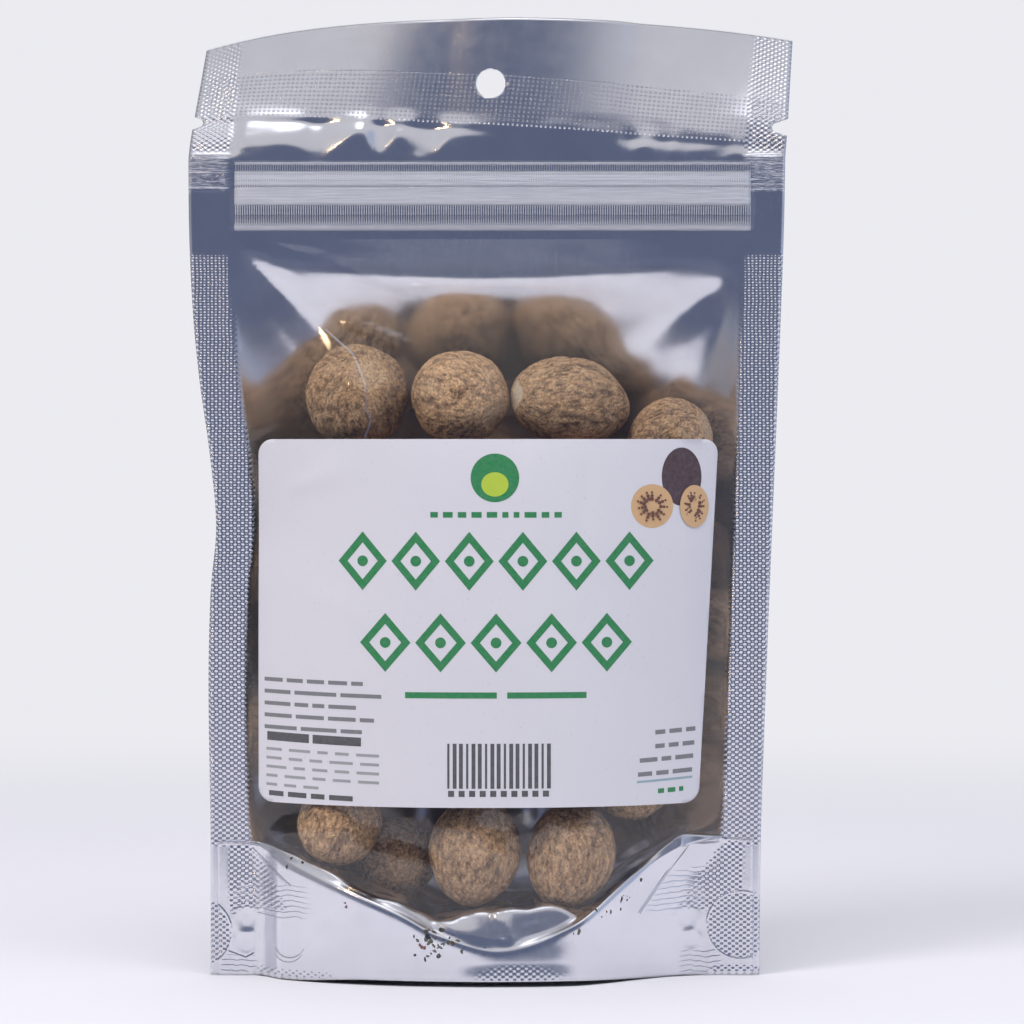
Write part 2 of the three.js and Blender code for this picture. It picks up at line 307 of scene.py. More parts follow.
BACK_FOLDS = [
    ((-57.4, 158.8), (-32, 136), 4.5, 0.9, True),
    ((54, 152), (26, 136), 6.0, 0.8, False),
    ((53, 150), (40, 118), 5.0, 0.5, False),
    ((-53, 84), (-36, 92), 3.6, 1.3, True),
    ((-53, 78), (-34, 66), 3.6, -1.0, True),
    ((50, 96), (32, 104), 3.6, 1.0, True),
    ((50, 60), (36, 48), 4.0, 0.9, False),
    ((-52, 28), (-24, 38), 4.2, 1.0, True),
    ((49, 28), (22, 40), 4.2, 1.0, True),
    ((-20, 112), (16, 104), 5.0, -0.6, False),
    ((-12, 70), (24, 62), 5.0, -0.5, False),
]


def fold_relief(x, height, folds):
    total = np.zeros_like(x)
    for (x0, h0), (x1, h1), width, rise, sharp in folds:
        run = math.hypot(x1 - x0, h1 - h0)
        along = ((x - x0) * (x1 - x0) + (height - h0) * (h1 - h0)) / run
        aside = np.abs((x - x0) * (h1 - h0) - (height - h0) * (x1 - x0)) / run
        spread = width * (0.35 + 0.65 * np.clip(along / run, 0, 1))
        profile = np.maximum(1 - aside / (1.6 * spread), 0) if sharp else np.exp(-((aside / spread) ** 2))
        strength = band(along, -2, 0.25 * run, 0.6 * run, 1.15 * run)
        total = total + rise * profile * strength
    return total


def cloudy(x, height, size, seed):
    """Smooth unevenness between about -1 and 1, with lumps of the given size."""
    total = np.zeros_like(x)
    draw = random.Random(seed)
    for _ in range(9):
        turn = draw.uniform(0, 2 * math.pi)
        wave = 2 * math.pi / (size * draw.uniform(0.8, 1.9))
        shift = draw.uniform(0, 2 * math.pi)
        total = total + np.sin(wave * (x * math.cos(turn) + height * math.sin(turn)) + shift)
    return total / 4.5


def label_right(height):
    share = (height - LABEL_BOTTOM) / (LABEL_TOP - LABEL_BOTTOM)
    return LABEL_BOTTOM_RIGHT + (LABEL_TOP_RIGHT - LABEL_BOTTOM_RIGHT) * share


def under_label(x, height):
    """1 under the label, falling to 0 a little way outside it."""
    beside = np.maximum(LABEL_LEFT - x, x - label_right(height))
    above = np.maximum(LABEL_BOTTOM - height, height - LABEL_TOP)
    return 1 - smoothstep(np.maximum(beside, above), 0.5, 5)


# Stations across the base: (x, height).
GUSSET_LINE = [
    # where the gusset leaves the front and the back film
    (-61.5, 28.8), (-53.1, 28.8), (-41.7, 24.4), (-30.6, 19.8), (-19.8, 15.2), (-11.9, 11.1), (1.6, 7.9),
    (17.6, 13), (31.9, 23.7), (45.1, 29.7), (58.4, 29.2),
]
GUSSET_BROW = [
    # what the gusset rises to before it turns back under the nutmegs
    (-61.5, 28.8), (-52.7, 29.1), (-48.8, 28.5), (-41.3, 25.8), (-34.4, 23.2), (-29.6, 20.3), (-25.7, 18.9),
    (-19, 17), (-15.6, 15.3), (-11.7, 13.6), (0.3, 15.8), (5, 16), (14.4, 16.5), (19, 14.7), (38.7, 29.3),
    (41.3, 30.8), (58.4, 29.2),
]
GUSSET_FACETS = [
    # folds of the gusset's front rise: as the films' folds
    ((0.3, 15.7), (4.4, 8.6), 1.9, 1.1, True), ((-11.7, 13.6), (0.9, 8), 1.8, 0.8, True),
    ((18.5, 14.5), (4, 9.6), 2.0, -0.7, True), ((-33, 22.4), (-13, 14), 1.2, 0.3, True),
]
# Above the strip: how far up (mm) the films start to lean back, how steeply they then lean, and how
# far (mm) the crease below the heat seal brings them forward again.
LEAN_DELAY = [
    (-57, 0), (-55, 2.6), (-50, 3), (-43, 2.6), (-39.5, 0), (-37, 0.5), (-33, 4), (-29, 6), (-25.5, 0.5),
    (-21, 5), (-17, 0.8), (-13.5, 0.8), (-10, 4), (-3, 4.6), (0, 7), (24, 7), (29, 0.5), (33, 3), (36, 0.2),
    (38, 0.2), (39.5, 1.4), (41, 0.2), (50.5, 0.2), (52.5, 1.4), (55, 0.2),
]
LEAN_SLOPE = [(-70, 0.2), (-14, 0.24), (-4, 0.12), (2, 0.03), (24, 0.03), (31, 0.2), (70, 0.18)]
CREASE_STEP = [(-66, 0.4), (-45, 0.6), (-10, 0.3), (30, 0.12), (64, 0)]
LOWER_EDGE_LIFT = 1  # the middle of the front's lower edge hangs this far above the floor


def gusset_line(x):
    return station_value(GUSSET_LINE, x)


def lower_edge_lift(x):
    return LOWER_EDGE_LIFT * band(x, -46, -26, 14, 38)


def film_relief(x, height, side):
    """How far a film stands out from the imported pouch's face."""
    across = np.abs(across_pocket(x, height))
    in_pocket = (1 - smoothstep(across, 0.9, 1.0)) * (1 - smoothstep(height, 157, ZIP_BOTTOM))
    in_pocket = in_pocket * smoothstep(height, 6, 16)
    folds = fold_relief(x, height, FRONT_FOLDS if side == FRONT else BACK_FOLDS)
    calm = 1 - 0.8 * smoothstep(height, 112, 124)
    calm = calm * smoothstep(height, 24, 36)
    uneven = calm * (0.3 * cloudy(x, height, 16, 11 + side) + 0.1 * cloudy(x, height, 6, 31 + side))
    crease = -1.1 * np.exp(-(((height - gusset_line(x) - 1.6) / 1.5) ** 2))
    crease = crease * (1 - smoothstep(across, 0.86, 0.98))
    free = 1 - under_label(x, height) if side == FRONT else 1
    skirt = -0.55 * band(height, 3.5, 11, 11, 18) * band(x, -9, 3, 12, 21)
    skirt = skirt + 0.3 * (1 - smoothstep(height, 1, 5)) * band(x, -12, -3, 14, 22)
    return (folds + uneven) * in_pocket * free + crease + (skirt if side == FRONT else 0)


def header_relief(x, height):
    """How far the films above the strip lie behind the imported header: they lean back in a few steps."""
    delay = station_value(LEAN_DELAY, x)
    crease = heat_seal_height(x) - HEAT_SEAL_HALF - 0.9
    beyond = np.minimum(height, crease) - (ZIP_TOP + 0.4 + delay)
    made_up = delay * smoothstep(height - crease, -2.5, 4)
    lean_back = station_value(LEAN_SLOPE, x) * ((beyond + np.hypot(beyond, 0.7)) / 2 + made_up)
    return lean_back - station_value(CREASE_STEP, x) * smoothstep(height - crease, -1, 1)


def film_offset(x, height, side):
    """Place of a film's outer face along Y, before the header is bent."""
    slack = band(height, 177.8, 180.5, 184.5, 188)
    slack = slack * (0.5 * cloudy(x, 0.6 * height, 14, 91) + 0.16 * cloudy(x, height, 6, 92))
    slack = 0.5 * slack + header_relief(x, height)
    return side * (film_swell(x, height, side) - FILM_INSET + film_relief(x, height, side)) + slack


def weave_mask(x, height):
    """1 where the films carry the dashes of the side seals, the corners and the punched circles."""
    seals = smoothstep(np.abs(across_pocket(x, height)), 0.985, 1.01) * smoothstep(height, 28, 30)
    seals = seals * (1 - 0.92 * band(height, 157, 158.5, 179.5, 181))
    left, right = edges(height)
    from_seal = np.minimum(x - left, right - x) - SEAL_WIDTH * 0.45
    reach = 22 - height * 0.6
    corner = band(height, 14, 16, 27, 28.4) * band(from_seal, 0, 0.6, reach, reach + 1)
    low_left = 0.6 * band(height, -1, 0, 1.7, 2.6) * band(x, -53, -50, -38, -31)
    low_right = band(height, -1, 0, 1.4, 2.2) * band(x, 46, 48.5, 58, 60)
    low_middle = 0.5 * (1 - smoothstep(np.hypot((x - 5.5) / 12, height / 5.2), 0.35, 1.0))
    circles = [
        1 - smoothstep(np.hypot(x - circle_x, height - circle_height), radius - 0.6, radius)
        for circle_x, circle_height, radius, *_ in PRESSED_ROUNDS[:2]
    ]
    return np.maximum.reduce([seals, corner, low_left, low_right, low_middle, *circles])


def ripple_mask(x, height):
    """1 where the welded corners of the base have level ripples."""
    upper_left = band(height, 12.6, 14, 19.6, 21.4) * band(x, -57.5, -55.5, -46, -38)
    lower_left = band(height, 0.1, 0.5, 3.7, 4.6) * band(x, -60, -58, -54, -50.5)
    from_diagonal = x - 31.7 - 0.753 * (height - 14.4)
    upper_right = band(height, 12.8, 17, 22, 26) * smoothstep(from_diagonal, -0.8, 3)
    upper_right = upper_right * (1 - smoothstep(x, 43.5, 48))
    lower_right = band(height, 0.3, 0.8, 5.2, 6.2) * band(x, 40, 42.5, 48, 50.5)
    total = np.maximum.reduce([upper_left, lower_left, upper_right, lower_right])
    for round_x, round_height, half_x, half_height, *_ in PRESSED_ROUNDS[2:]:
        away = np.hypot((x - round_x) / half_x, (height - round_height) / half_height)
        total = total * smoothstep(away, 0.95, 1.15)
    return total


def crushed_mask(x, height):
    """1 where the ends of the strip have crushed the side seals flat."""
    at_seal = smoothstep(np.abs(across_pocket(x, height)), 0.98, 1.01)
    streaked = 0.12 + 0.88 * smoothstep(height, 170.5, 172.5)
    return streaked * at_seal * band(height, 158, 160, 178.5, 180.5)


def heat_seal_height(x):
    return HEAT_SEAL_HEIGHT + HEAT_SEAL_SLOPE * (x - HEAT_SEAL_X)


def dot_mask(x, height):
    return 1 - smoothstep(np.abs(height - heat_seal_height(x)), HEAT_SEAL_HALF - 0.5, HEAT_SEAL_HALF)


# ---- meshes -----------------------------------------------------------------------------------

def deselect():
    if bpy.context.object and bpy.context.object.mode != "OBJECT":
        bpy.ops.object.mode_set(mode="OBJECT")
    bpy.ops.object.select_all(action="DESELECT")


def only(piece):
    deselect()
    piece.select_set(True)
    bpy.context.view_layer.objects.active = piece
    return piece


def new_piece(name):
    """Names the piece that was just made."""
    piece = bpy.context.object
    piece.name = piece.data.name = name
    return piece


def primitive(add, name, **settings):
    """A new piece from one of Blender's own primitives."""
    deselect()
    add(**settings)
    return new_piece(name)


def in_edit(*steps):
    """Runs operators on all of the active piece in edit mode."""
    bpy.ops.object.mode_set(mode="EDIT")
    bpy.ops.mesh.select_all(action="SELECT")
    for step in steps:
        step()
    bpy.ops.object.mode_set(mode="OBJECT")


def apply_modifiers(piece):
    only(piece)
    for modifier in list(piece.modifiers):
        bpy.ops.object.modifier_apply(modifier=modifier.name)
    return piece


def join(name, pieces):
    deselect()
    for piece in pieces:
        piece.select_set(True)
    bpy.context.view_layer.objects.active = pieces[0]
    bpy.ops.object.join()
    return new_piece(name)


def smooth(piece):
    piece.data.polygons.foreach_set("use_smooth", [True] * len(piece.data.polygons))
    return piece


def points_of(piece):
    flat = np.zeros(len(piece.data.vertices) * 3)
    piece.data.vertices.foreach_get("co", flat)
    return flat.reshape(-1, 3)


def set_points(piece, points_mm):
    piece.data.vertices.foreach_set("co", (np.asarray(points_mm) * MM).ravel())
    piece.data.update()


def write_shares(piece, **shares):
    """Values for each vertex, that the piece's material reads."""
    for name, values in shares.items():
        layer = piece.data.attributes.new(name=name, type="FLOAT", domain="POINT")
        layer.data.foreach_set("value", np.asarray(values, dtype=np.float32))


def write_flat_map(piece, x, height):
    """The UV map follows the film: its two values are x and height in centimetres."""
    layer = piece.data.uv_layers[0] if piece.data.uv_layers else piece.data.uv_layers.new(name="flat")
    layer.name = "flat"
    corner = np.zeros(len(piece.data.loops), int)
    piece.data.loops.foreach_get("vertex_index", corner)
    layer.data.foreach_set("uv", (np.stack([x, height], axis=1)[corner] / 10).ravel())


def grid_sheet(name, columns, rows):
    """A flat grid, with its places from 0 to 1 across and up."""
    add_grid = bpy.ops.mesh.primitive_grid_add
    piece = primitive(add_grid, name, x_subdivisions=columns, y_subdivisions=rows, size=2)
    points = points_of(piece)
    return piece, (points[:, 0] + 1) / 2, (points[:, 1] + 1) / 2


def prism(name, corners, rounding):
    """A plate standing across Y: four corners (x, height) in mm, rounded, and extruded through."""
    piece = primitive(bpy.ops.mesh.primitive_plane_add, name, size=2)
    order = [0, 1, 3, 2]  # the plane's own corners, taken round its outline
    points = np.zeros((4, 3))
    for slot, (x, height) in zip(order, corners):
        points[slot] = (x, -CUT_LENGTH / 2, height)
    set_points(piece, points)
    in_edit(
        lambda: bpy.ops.mesh.bevel(affect="VERTICES", offset=rounding * MM, segments=8, offset_type="OFFSET"),
        lambda: bpy.ops.mesh.select_all(action="SELECT"),
        lambda: bpy.ops.mesh.extrude_region_move(TRANSFORM_OT_translate={"value": (0, CUT_LENGTH * MM, 0)}),
        lambda: bpy.ops.mesh.select_all(action="SELECT"),
        lambda: bpy.ops.mesh.normals_make_consistent(inside=False),
    )
    return piece


def cut(piece, cutters, operation="DIFFERENCE"):
    for cutter in cutters:
        boolean = piece.modifiers.new(cutter.name, "BOOLEAN")
        boolean.object = cutter
        boolean.operation = operation
        boolean.solver = "MANIFOLD"
    return apply_modifiers(piece)


def thicken(piece, thickness_mm):
    """Gives a sheet its thickness, inwards from its outer face."""
    solidify = piece.modifiers.new("thickness", "SOLIDIFY")
    solidify.thickness = thickness_mm * MM
    solidify.offset = -1
    return apply_modifiers(piece)


def hang_hole():
    return primitive(
        bpy.ops.mesh.primitive_cylinder_add, "hole_cutter",
        vertices=64, radius=HOLE_DIAMETER / 2 * MM, depth=CUT_LENGTH * MM,
        location=(HOLE_X * MM, 0, HOLE_HEIGHT * MM), rotation=(math.pi / 2, 0, 0),
    )


def tear_notch(name, edge_x, height, inward):
    outside = 2  # how far the cutter stands out beyond the films' edge
    slope = (NOTCH_HALF_MOUTH - NOTCH_TIP) / (NOTCH_DEPTH - NOTCH_TIP)
    start = NOTCH_HALF_MOUTH + outside * slope
    tip = edge_x + inward * NOTCH_DEPTH
    mouth = edge_x - inward * outside
    corners = [(mouth, -start), (tip, -NOTCH_TIP), (tip, NOTCH_TIP), (mouth, start)]
    return prism(name, [(x, height + up) for x, up in corners], NOTCH_TIP * 0.9)


# ---- materials --------------------------------------------------------------------------------

class Recipe:
    """The nodes of one material, or of the world: adds nodes and joins them."""

    def __init__(self, name, kind="Material"):
        self.kind = kind
        self.owner = (bpy.data.worlds if kind == "World" else bpy.data.materials).new(name)
        self.owner.use_nodes = True
        self.tree = self.owner.node_tree
        self.tree.nodes.clear()

    def node(self, kind, inputs=(), **settings):
        made = self.tree.nodes.new(kind)
        for key, value in settings.items():
            setattr(made, key, value)
        for key, value in dict(inputs).items():
            self.feed(made.inputs[key], value)
        return made

    def feed(self, socket, value):
        if isinstance(value, bpy.types.NodeSocket):
            self.tree.links.new(value, socket)
        else:
            socket.default_value = value

    def math(self, operation, a, b=0.0, clamp=False):
        return self.node("ShaderNodeMath", {0: a, 1: b}, operation=operation, use_clamp=clamp).outputs[0]

    def times(self, *values):
        total = values[0]
        for value in values[1:]:
            total = self.math("MULTIPLY", total, value)
        return total

    def plus(self, *values):
        total = values[0]
        for value in values[1:]:
            total = self.math("ADD", total, value)
        return total

    def wave(self, value, period):
        return self.math("COSINE", self.times(value, 2 * math.pi / period))

    def share(self, value, low, high):
        """0 below low, 1 above high, smooth between."""
        made = self.node(
            "ShaderNodeMapRange", {"Value": value, "From Min": low, "From Max": high},
            interpolation_type="SMOOTHSTEP",
        )
        return made.outputs["Result"]

    def scaled(self, value, low, high):
        """Maps 0..1 to low..high."""
        made = self.node("ShaderNodeMapRange", {"Value": value, "To Min": low, "To Max": high})
        return made.outputs["Result"]

    def mix(self, factor, a, b):
        made = self.node("ShaderNodeMix", data_type="RGBA")
        self.feed(made.inputs[0], factor)
        self.feed(made.inputs[6], a)
        self.feed(made.inputs[7], b)
        return made.outputs[2]

    def vector(self, operation, a, b=(0.0, 0.0, 0.0), output="Vector"):
        return self.node("ShaderNodeVectorMath", {0: a, 1: b}, operation=operation).outputs[output]

    def point(self, x, height):
        return self.node("ShaderNodeCombineXYZ", {"X": x, "Y": height}).outputs[0]

    def parts(self, vector):
        """The three parts of a vector: X, Y and Z."""
        return tuple(self.node("ShaderNodeSeparateXYZ", {"Vector": vector}).outputs)

    def film_place(self):
        """A film's flat map, and the x and the height in mm that it stands for."""
        flat = self.node("ShaderNodeUVMap", uv_map="flat").outputs["UV"]
        x, height, _ = self.parts(flat)
        return flat, self.times(x, 10.0), self.times(height, 10.0)

    def coordinates(self):
        return self.node("ShaderNodeTexCoord").outputs["Object"]

    def stretched(self, vector, scale):
        return self.node("ShaderNodeMapping", {"Vector": vector, "Scale": scale}).outputs["Vector"]

    def noise(self, vector, scale, detail=2.0, roughness=0.5):
        made = self.node("ShaderNodeTexNoise", {
            "Vector": vector, "Scale": scale, "Detail": detail, "Roughness": roughness,
        })
        return made.outputs["Fac"]

    def attribute(self, name, output="Fac"):
        return self.node("ShaderNodeAttribute", attribute_name=name).outputs[output]

    def bump(self, height_mm):
        made = self.node("ShaderNodeBump", {"Height": height_mm, "Distance": MM, "Strength": 1.0})
        return made.outputs["Normal"]

    def principled(self, colour, roughness, relief_mm=None, specular=0.5, metallic=0.0):
        made = self.node("ShaderNodeBsdfPrincipled", {
            "Base Color": colour, "Roughness": roughness,
            "Specular IOR Level": specular, "Metallic": metallic,
        })
        if relief_mm is not None:
            self.feed(made.inputs["Normal"], self.bump(relief_mm))
        return made.outputs[0]

    def see_through(self, colour):
        return self.node("ShaderNodeBsdfTransparent", {"Color": colour}).outputs[0]

    def glow(self, colour):
        return self.node("ShaderNodeEmission", {"Color": colour, "Strength": 1.0}).outputs[0]

    def layered(self, factor, below, above):
        return self.node("ShaderNodeMixShader", {0: factor, 1: below, 2: above}).outputs[0]

    def finish(self, shader):
        self.node(f"ShaderNodeOutput{self.kind}", {"Surface": shader})
        return self.owner


def beside_lines(recipe, place, points):
    """Distance in mm from a chain of straight lines."""
    nearest = 1000.0
    for (x0, z0), (x1, z1) in zip(points, points[1:]):
        run = (x1 - x0, z1 - z0, 0.0)
        away = recipe.vector("SUBTRACT", place, (x0, z0, 0.0))
        share = recipe.vector("DOT_PRODUCT", away, run, "Value")
        share = recipe.math("MULTIPLY", share, 1 / (run[0] ** 2 + run[1] ** 2), clamp=True)
        along = recipe.node("ShaderNodeVectorMath", {0: run, "Scale": share}, operation="SCALE").outputs[0]
        nearest = recipe.math("MINIMUM", nearest, recipe.vector("DISTANCE", away, along, "Value"))
    return nearest


def pressed_shapes(recipe, x, height):
    """Height in mm of the single lines, round shapes and arcs."""
    place = recipe.point(x, height)
    total = 0.0
    for points, width, rise in PRESSED_LINES:
        aside = beside_lines(recipe, place, points)
        total = recipe.plus(total, recipe.times(recipe.share(aside, width, 0.0), rise))
    for x0, z0, half_x, half_z, rim, rise in PRESSED_ROUNDS:
        away = recipe.vector("SUBTRACT", place, (x0, z0, 0.0))
        away = recipe.vector("MULTIPLY", away, (1 / half_x, 1 / half_z, 0.0))
        off = recipe.math("ABSOLUTE", recipe.plus(recipe.vector("LENGTH", away, output="Value"), -1.0))
        total = recipe.plus(total, recipe.times(recipe.share(off, rim / half_x, 0.0), rise))
    for x0, z0, radius, end, width, rise in PRESSED_ARCS:
        away = recipe.vector("DISTANCE", place, (x0, z0, 0.0), "Value")
        off = recipe.math("ABSOLUTE", recipe.plus(away, -radius))
        arc = recipe.times(recipe.share(off, width, 0.0), recipe.share(height, end + 0.3, end - 0.6), rise)
        total = recipe.plus(total, arc)
    return total


def emboss(recipe, film_place, strength=1.0, has_crushed_ends=True, has_base_shapes=True):
    """Height in mm of what is pressed into the films, from their flat map and their masks: the two
    lattices and, where asked for, the crushed ends of the strip and the shapes of the base. Each
    takes time to render."""
    flat, x, height = film_place
    x_woven = recipe.plus(x, recipe.times(recipe.noise(flat, 2.2, 2.0), 0.5))
    weave = recipe.times(recipe.wave(x_woven, WEAVE_ACROSS), recipe.wave(height, WEAVE_UP))
    weave = recipe.times(weave, recipe.attribute("weave"), WEAVE_DEPTH * strength)
    sloped = recipe.plus(height, recipe.times(x, -HEAT_SEAL_SLOPE))
    x_leaning = recipe.plus(x, recipe.times(height, HEAT_SEAL_SLOPE))
    dots = recipe.times(
        recipe.share(recipe.wave(x_leaning, DOT_ACROSS), -0.1, 0.7),
        recipe.share(recipe.wave(sloped, DOT_UP), 0.1, 0.9),
    )
    dots = recipe.times(dots, recipe.attribute("dots"), -DOT_DEPTH * strength)
    if has_crushed_ends:
        smear = recipe.noise(recipe.stretched(flat, (0.25, 5.0, 1.0)), 2.0, 4.0, 0.6)
        dots = recipe.plus(dots, recipe.times(smear, recipe.attribute("crushed"), SMEAR_DEPTH * strength))
    if has_base_shapes:
        wavy = recipe.noise(recipe.stretched(flat, (1.0, 0.4, 1.0)), 1.8, 2.0, 0.6)
        groove = recipe.share(recipe.wave(recipe.plus(height, recipe.times(wavy, 2.6)), RIPPLE_UP), 0.0, 1.0)
        ripples = recipe.times(groove, recipe.attribute("ripples"), -RIPPLE_DEPTH * strength)
        # the welded corners lean back a little towards their weld line
        near_corner = recipe.plus(
            recipe.times(recipe.share(x, -59.0, -56.0), recipe.share(x, -44.0, -49.0)),
            recipe.times(recipe.share(x, 40.0, 44.0), recipe.share(x, 52.0, 49.0)),
        )
        near_weld = recipe.times(recipe.share(height, 17.0, 28.4), recipe.share(height, 29.6, 28.6))
        lean = recipe.times(near_weld, near_corner, -0.4)
        ripples = recipe.plus(ripples, lean)
        dots = recipe.plus(dots, ripples, recipe.times(pressed_shapes(recipe, x, height), strength))
    return recipe.plus(weave, dots)


def foil_material(name, **shapes):
    recipe = Recipe(name)
    film_place = recipe.film_place()
    flat = film_place[0]
    colour = recipe.mix(recipe.noise(flat, 0.9, 3.0), (0.70, 0.71, 0.76, 1), (0.82, 0.82, 0.86, 1))
    roughness = recipe.scaled(recipe.noise(flat, 3.0, 2.0), 0.10, 0.24)
    grain = recipe.times(recipe.noise(flat, 60.0, 1.0, 0.7), 0.006)
    relief = recipe.plus(emboss(recipe, film_place, **shapes), grain)
    return recipe.finish(recipe.principled(colour, roughness, relief, metallic=1.0))


def clear_film_material():
    recipe = Recipe("clear_film")
    film_place = recipe.film_place()
    flat, x, height = film_place
    pressed = emboss(recipe, film_place, 0.5, has_crushed_ends=False, has_base_shapes=False)
    specks = recipe.share(recipe.noise(flat, 34.0, 2.0, 0.6), 0.66, 0.72)
    scuffs = recipe.share(recipe.noise(recipe.stretched(flat, (1.0, 0.25, 1.0)), 9.0, 2.0, 0.7), 0.5, 0.8)
    scratch = recipe.share(beside_lines(recipe, recipe.point(x, height), SCRATCH), 0.32, 0.1)
    # light goes straight through a film, so its inner faces reflect no more than its outer ones
    inner = recipe.node("ShaderNodeNewGeometry").outputs["Backfacing"]
    index = recipe.plus(FILM_INDEX, recipe.times(inner, 1 / FILM_INDEX - FILM_INDEX))
    fresnel = recipe.node("ShaderNodeFresnel", {"IOR": index}).outputs[0]
    haze = recipe.plus(0.008, recipe.times(specks, 0.16), recipe.times(scuffs, 0.02))
    haze = recipe.plus(haze, recipe.times(scratch, 0.22))
    factor = recipe.math("ADD", fresnel, haze, clamp=True)
    grain = recipe.times(recipe.noise(flat, 14.0, 1.0), 0.008)
    gloss = recipe.node("ShaderNodeBsdfGlossy", {
        "Color": (0.96, 0.96, 1.0, 1),
        "Roughness": recipe.scaled(scuffs, 0.05, 0.16),
        "Normal": recipe.bump(recipe.plus(pressed, grain)),
    })
    through = recipe.see_through((0.99, 0.99, 0.992, 1))
    return recipe.finish(recipe.layered(factor, through, gloss.outputs[0]))


def strip_material():
    """Milky plastic of the press-to-close strip, with rows of short dashes."""
    recipe = Recipe("strip_plastic")
    flat, x, height = recipe.film_place()
    streaks = recipe.noise(recipe.stretched(flat, (0.6, 14.0, 1.0)), 2.0, 4.0, 0.6)
    ragged = recipe.plus(height, recipe.times(recipe.plus(recipe.noise(flat, 6.0, 3.0), -0.5), 0.5))
    dash = recipe.wave(x, STRIP_DASH)
    dashes = 0.0
    for low, high, strength in STRIP_DASH_ROWS:
        above = recipe.share(ragged, low - 0.1, low + 0.1)
        below = recipe.share(ragged, high + 0.1, high - 0.1)
        evened = recipe.plus(dash, -0.2 if strength < 0 else 0.2)
        dashes = recipe.plus(dashes, recipe.times(above, below, evened, abs(strength)))
    milky = recipe.plus(recipe.attribute("milky"), dashes)
    factor = recipe.math("ADD", milky, recipe.times(recipe.plus(streaks, -0.5), 0.3), clamp=True)
    colour = recipe.mix(streaks, (0.62, 0.63, 0.69, 1), (0.86, 0.86, 0.89, 1))
    plastic = recipe.principled(colour, 0.3, recipe.times(streaks, 0.12), metallic=0.35)
    return recipe.finish(recipe.layered(factor, recipe.see_through((0.97, 0.97, 0.98, 1)), plastic))


def label_material():
    recipe = Recipe("label_paper")
    place = recipe.coordinates()
    fibre = recipe.noise(place, 900.0, 3.0, 0.6)
    specks = recipe.share(recipe.noise(place, 1500.0, 1.0), 0.70, 0.76)
    colour = recipe.mix(recipe.noise(place, 40.0, 3.0), (0.62, 0.605, 0.645, 1), (0.67, 0.65, 0.69, 1))
    colour = recipe.mix(recipe.times(specks, 0.25), colour, (0.42, 0.41, 0.42, 1))
    relief = recipe.times(fibre, 0.015)
    return recipe.finish(recipe.principled(colour, recipe.scaled(fibre, 0.42, 0.6), relief, PAPER_SPECULAR))


def print_material():
    recipe = Recipe("label_print")
    place = recipe.coordinates()
    worn = recipe.noise(place, 1200.0, 2.0)
    ink = recipe.attribute("ink", "Color")
    colour = recipe.mix(recipe.scaled(worn, 0.0, 0.16), ink, (0.5, 0.5, 0.52, 1))
    return recipe.finish(recipe.principled(colour, recipe.scaled(worn, 0.42, 0.55), specular=PAPER_SPECULAR))


def nutmeg_material():
    """Brown seed: shade is painted into its furrows, which are darkened almost to black in the colour; paler
    on the ridges and at the scar of its stem end.
    """
    recipe = Recipe("nutmeg_shell")
    own = recipe.attribute("own_place", "Vector")
    furrow = recipe.attribute("furrow")
    fine = recipe.noise(recipe.stretched(own, (1.0, 1.0, 0.45)), 1.6, 5.0, 0.65)
    mottle = recipe.noise(own, 0.28, 3.0, 0.6)
    dust = recipe.noise(own, 4.5, 3.0, 0.7)
    colour = recipe.mix(recipe.share(fine, 0.3, 0.7), (0.42, 0.235, 0.118, 1), (0.86, 0.54, 0.28, 1))
    # painted shade: the furrows' recesses are darkened in the colour, standing in for the shade that falls in
    # them
    colour = recipe.mix(recipe.times(furrow, 0.95), colour, (0.10, 0.054, 0.030, 1))
    colour = recipe.mix(recipe.times(recipe.share(mottle, 0.5, 0.7), 0.5), colour, (0.76, 0.51, 0.30, 1))
    colour = recipe.mix(recipe.times(recipe.share(dust, 0.54, 0.66), 0.55), colour, (0.84, 0.62, 0.40, 1))
    pits = recipe.share(recipe.noise(own, 2.2, 2.0, 0.6), 0.46, 0.38)
    colour = recipe.mix(recipe.times(pits, 0.5), colour, (0.16, 0.078, 0.038, 1))
    colour = recipe.mix(recipe.attribute("scar"), colour, (0.90, 0.75, 0.54, 1))
    shade = recipe.scaled(recipe.attribute("tone"), 0.85, 1.1)
    toned = recipe.vector("MULTIPLY", colour, shade)
    relief = recipe.plus(recipe.times(fine, 0.5), recipe.times(dust, 0.16), recipe.times(pits, -0.2))
    return recipe.finish(recipe.principled(toned, recipe.scaled(fine, 0.55, 0.8), relief, 0.35))


def flake_material():
    recipe = Recipe("herb_flakes")
    place = recipe.coordinates()
    kind = recipe.noise(place, 420.0, 1.0)
    colour = recipe.mix(recipe.share(kind, 0.42, 0.5), (0.018, 0.020, 0.010, 1), (0.075, 0.070, 0.035, 1))
    colour = recipe.mix(recipe.share(kind, 0.58, 0.64), colour, (0.15, 0.045, 0.022, 1))
    return recipe.finish(recipe.principled(colour, recipe.scaled(recipe.noise(place, 3000.0), 0.5, 0.85)))


# ---- films ------------------------------------------------------------------------------------

RAY_START = 60  # mm from the middle plane, clear of every seed
SEEDS_BELOW = 140
PRESS_REACH = 1  # a film this near to where a seed would hold it is moved too
SOFT_STEP = 0.35
LIFT_FADES_AT = 6  # height where the front film no longer follows its raised lower edge
GUSSET_CELLS = 150
SKIRT_SHARE = 0.25  # of the gusset's rows, on the front skirt and again on the back skirt
SKIRT_INSET = 0.42  # of the skirts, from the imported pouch's faces
GUSSET_MARGIN = 1.5
SEED_CLEARANCE = 1
STRIP_FOOT = 162.6
STRIP_THICKNESS = 0.25
STRIP_GAP = 0.06
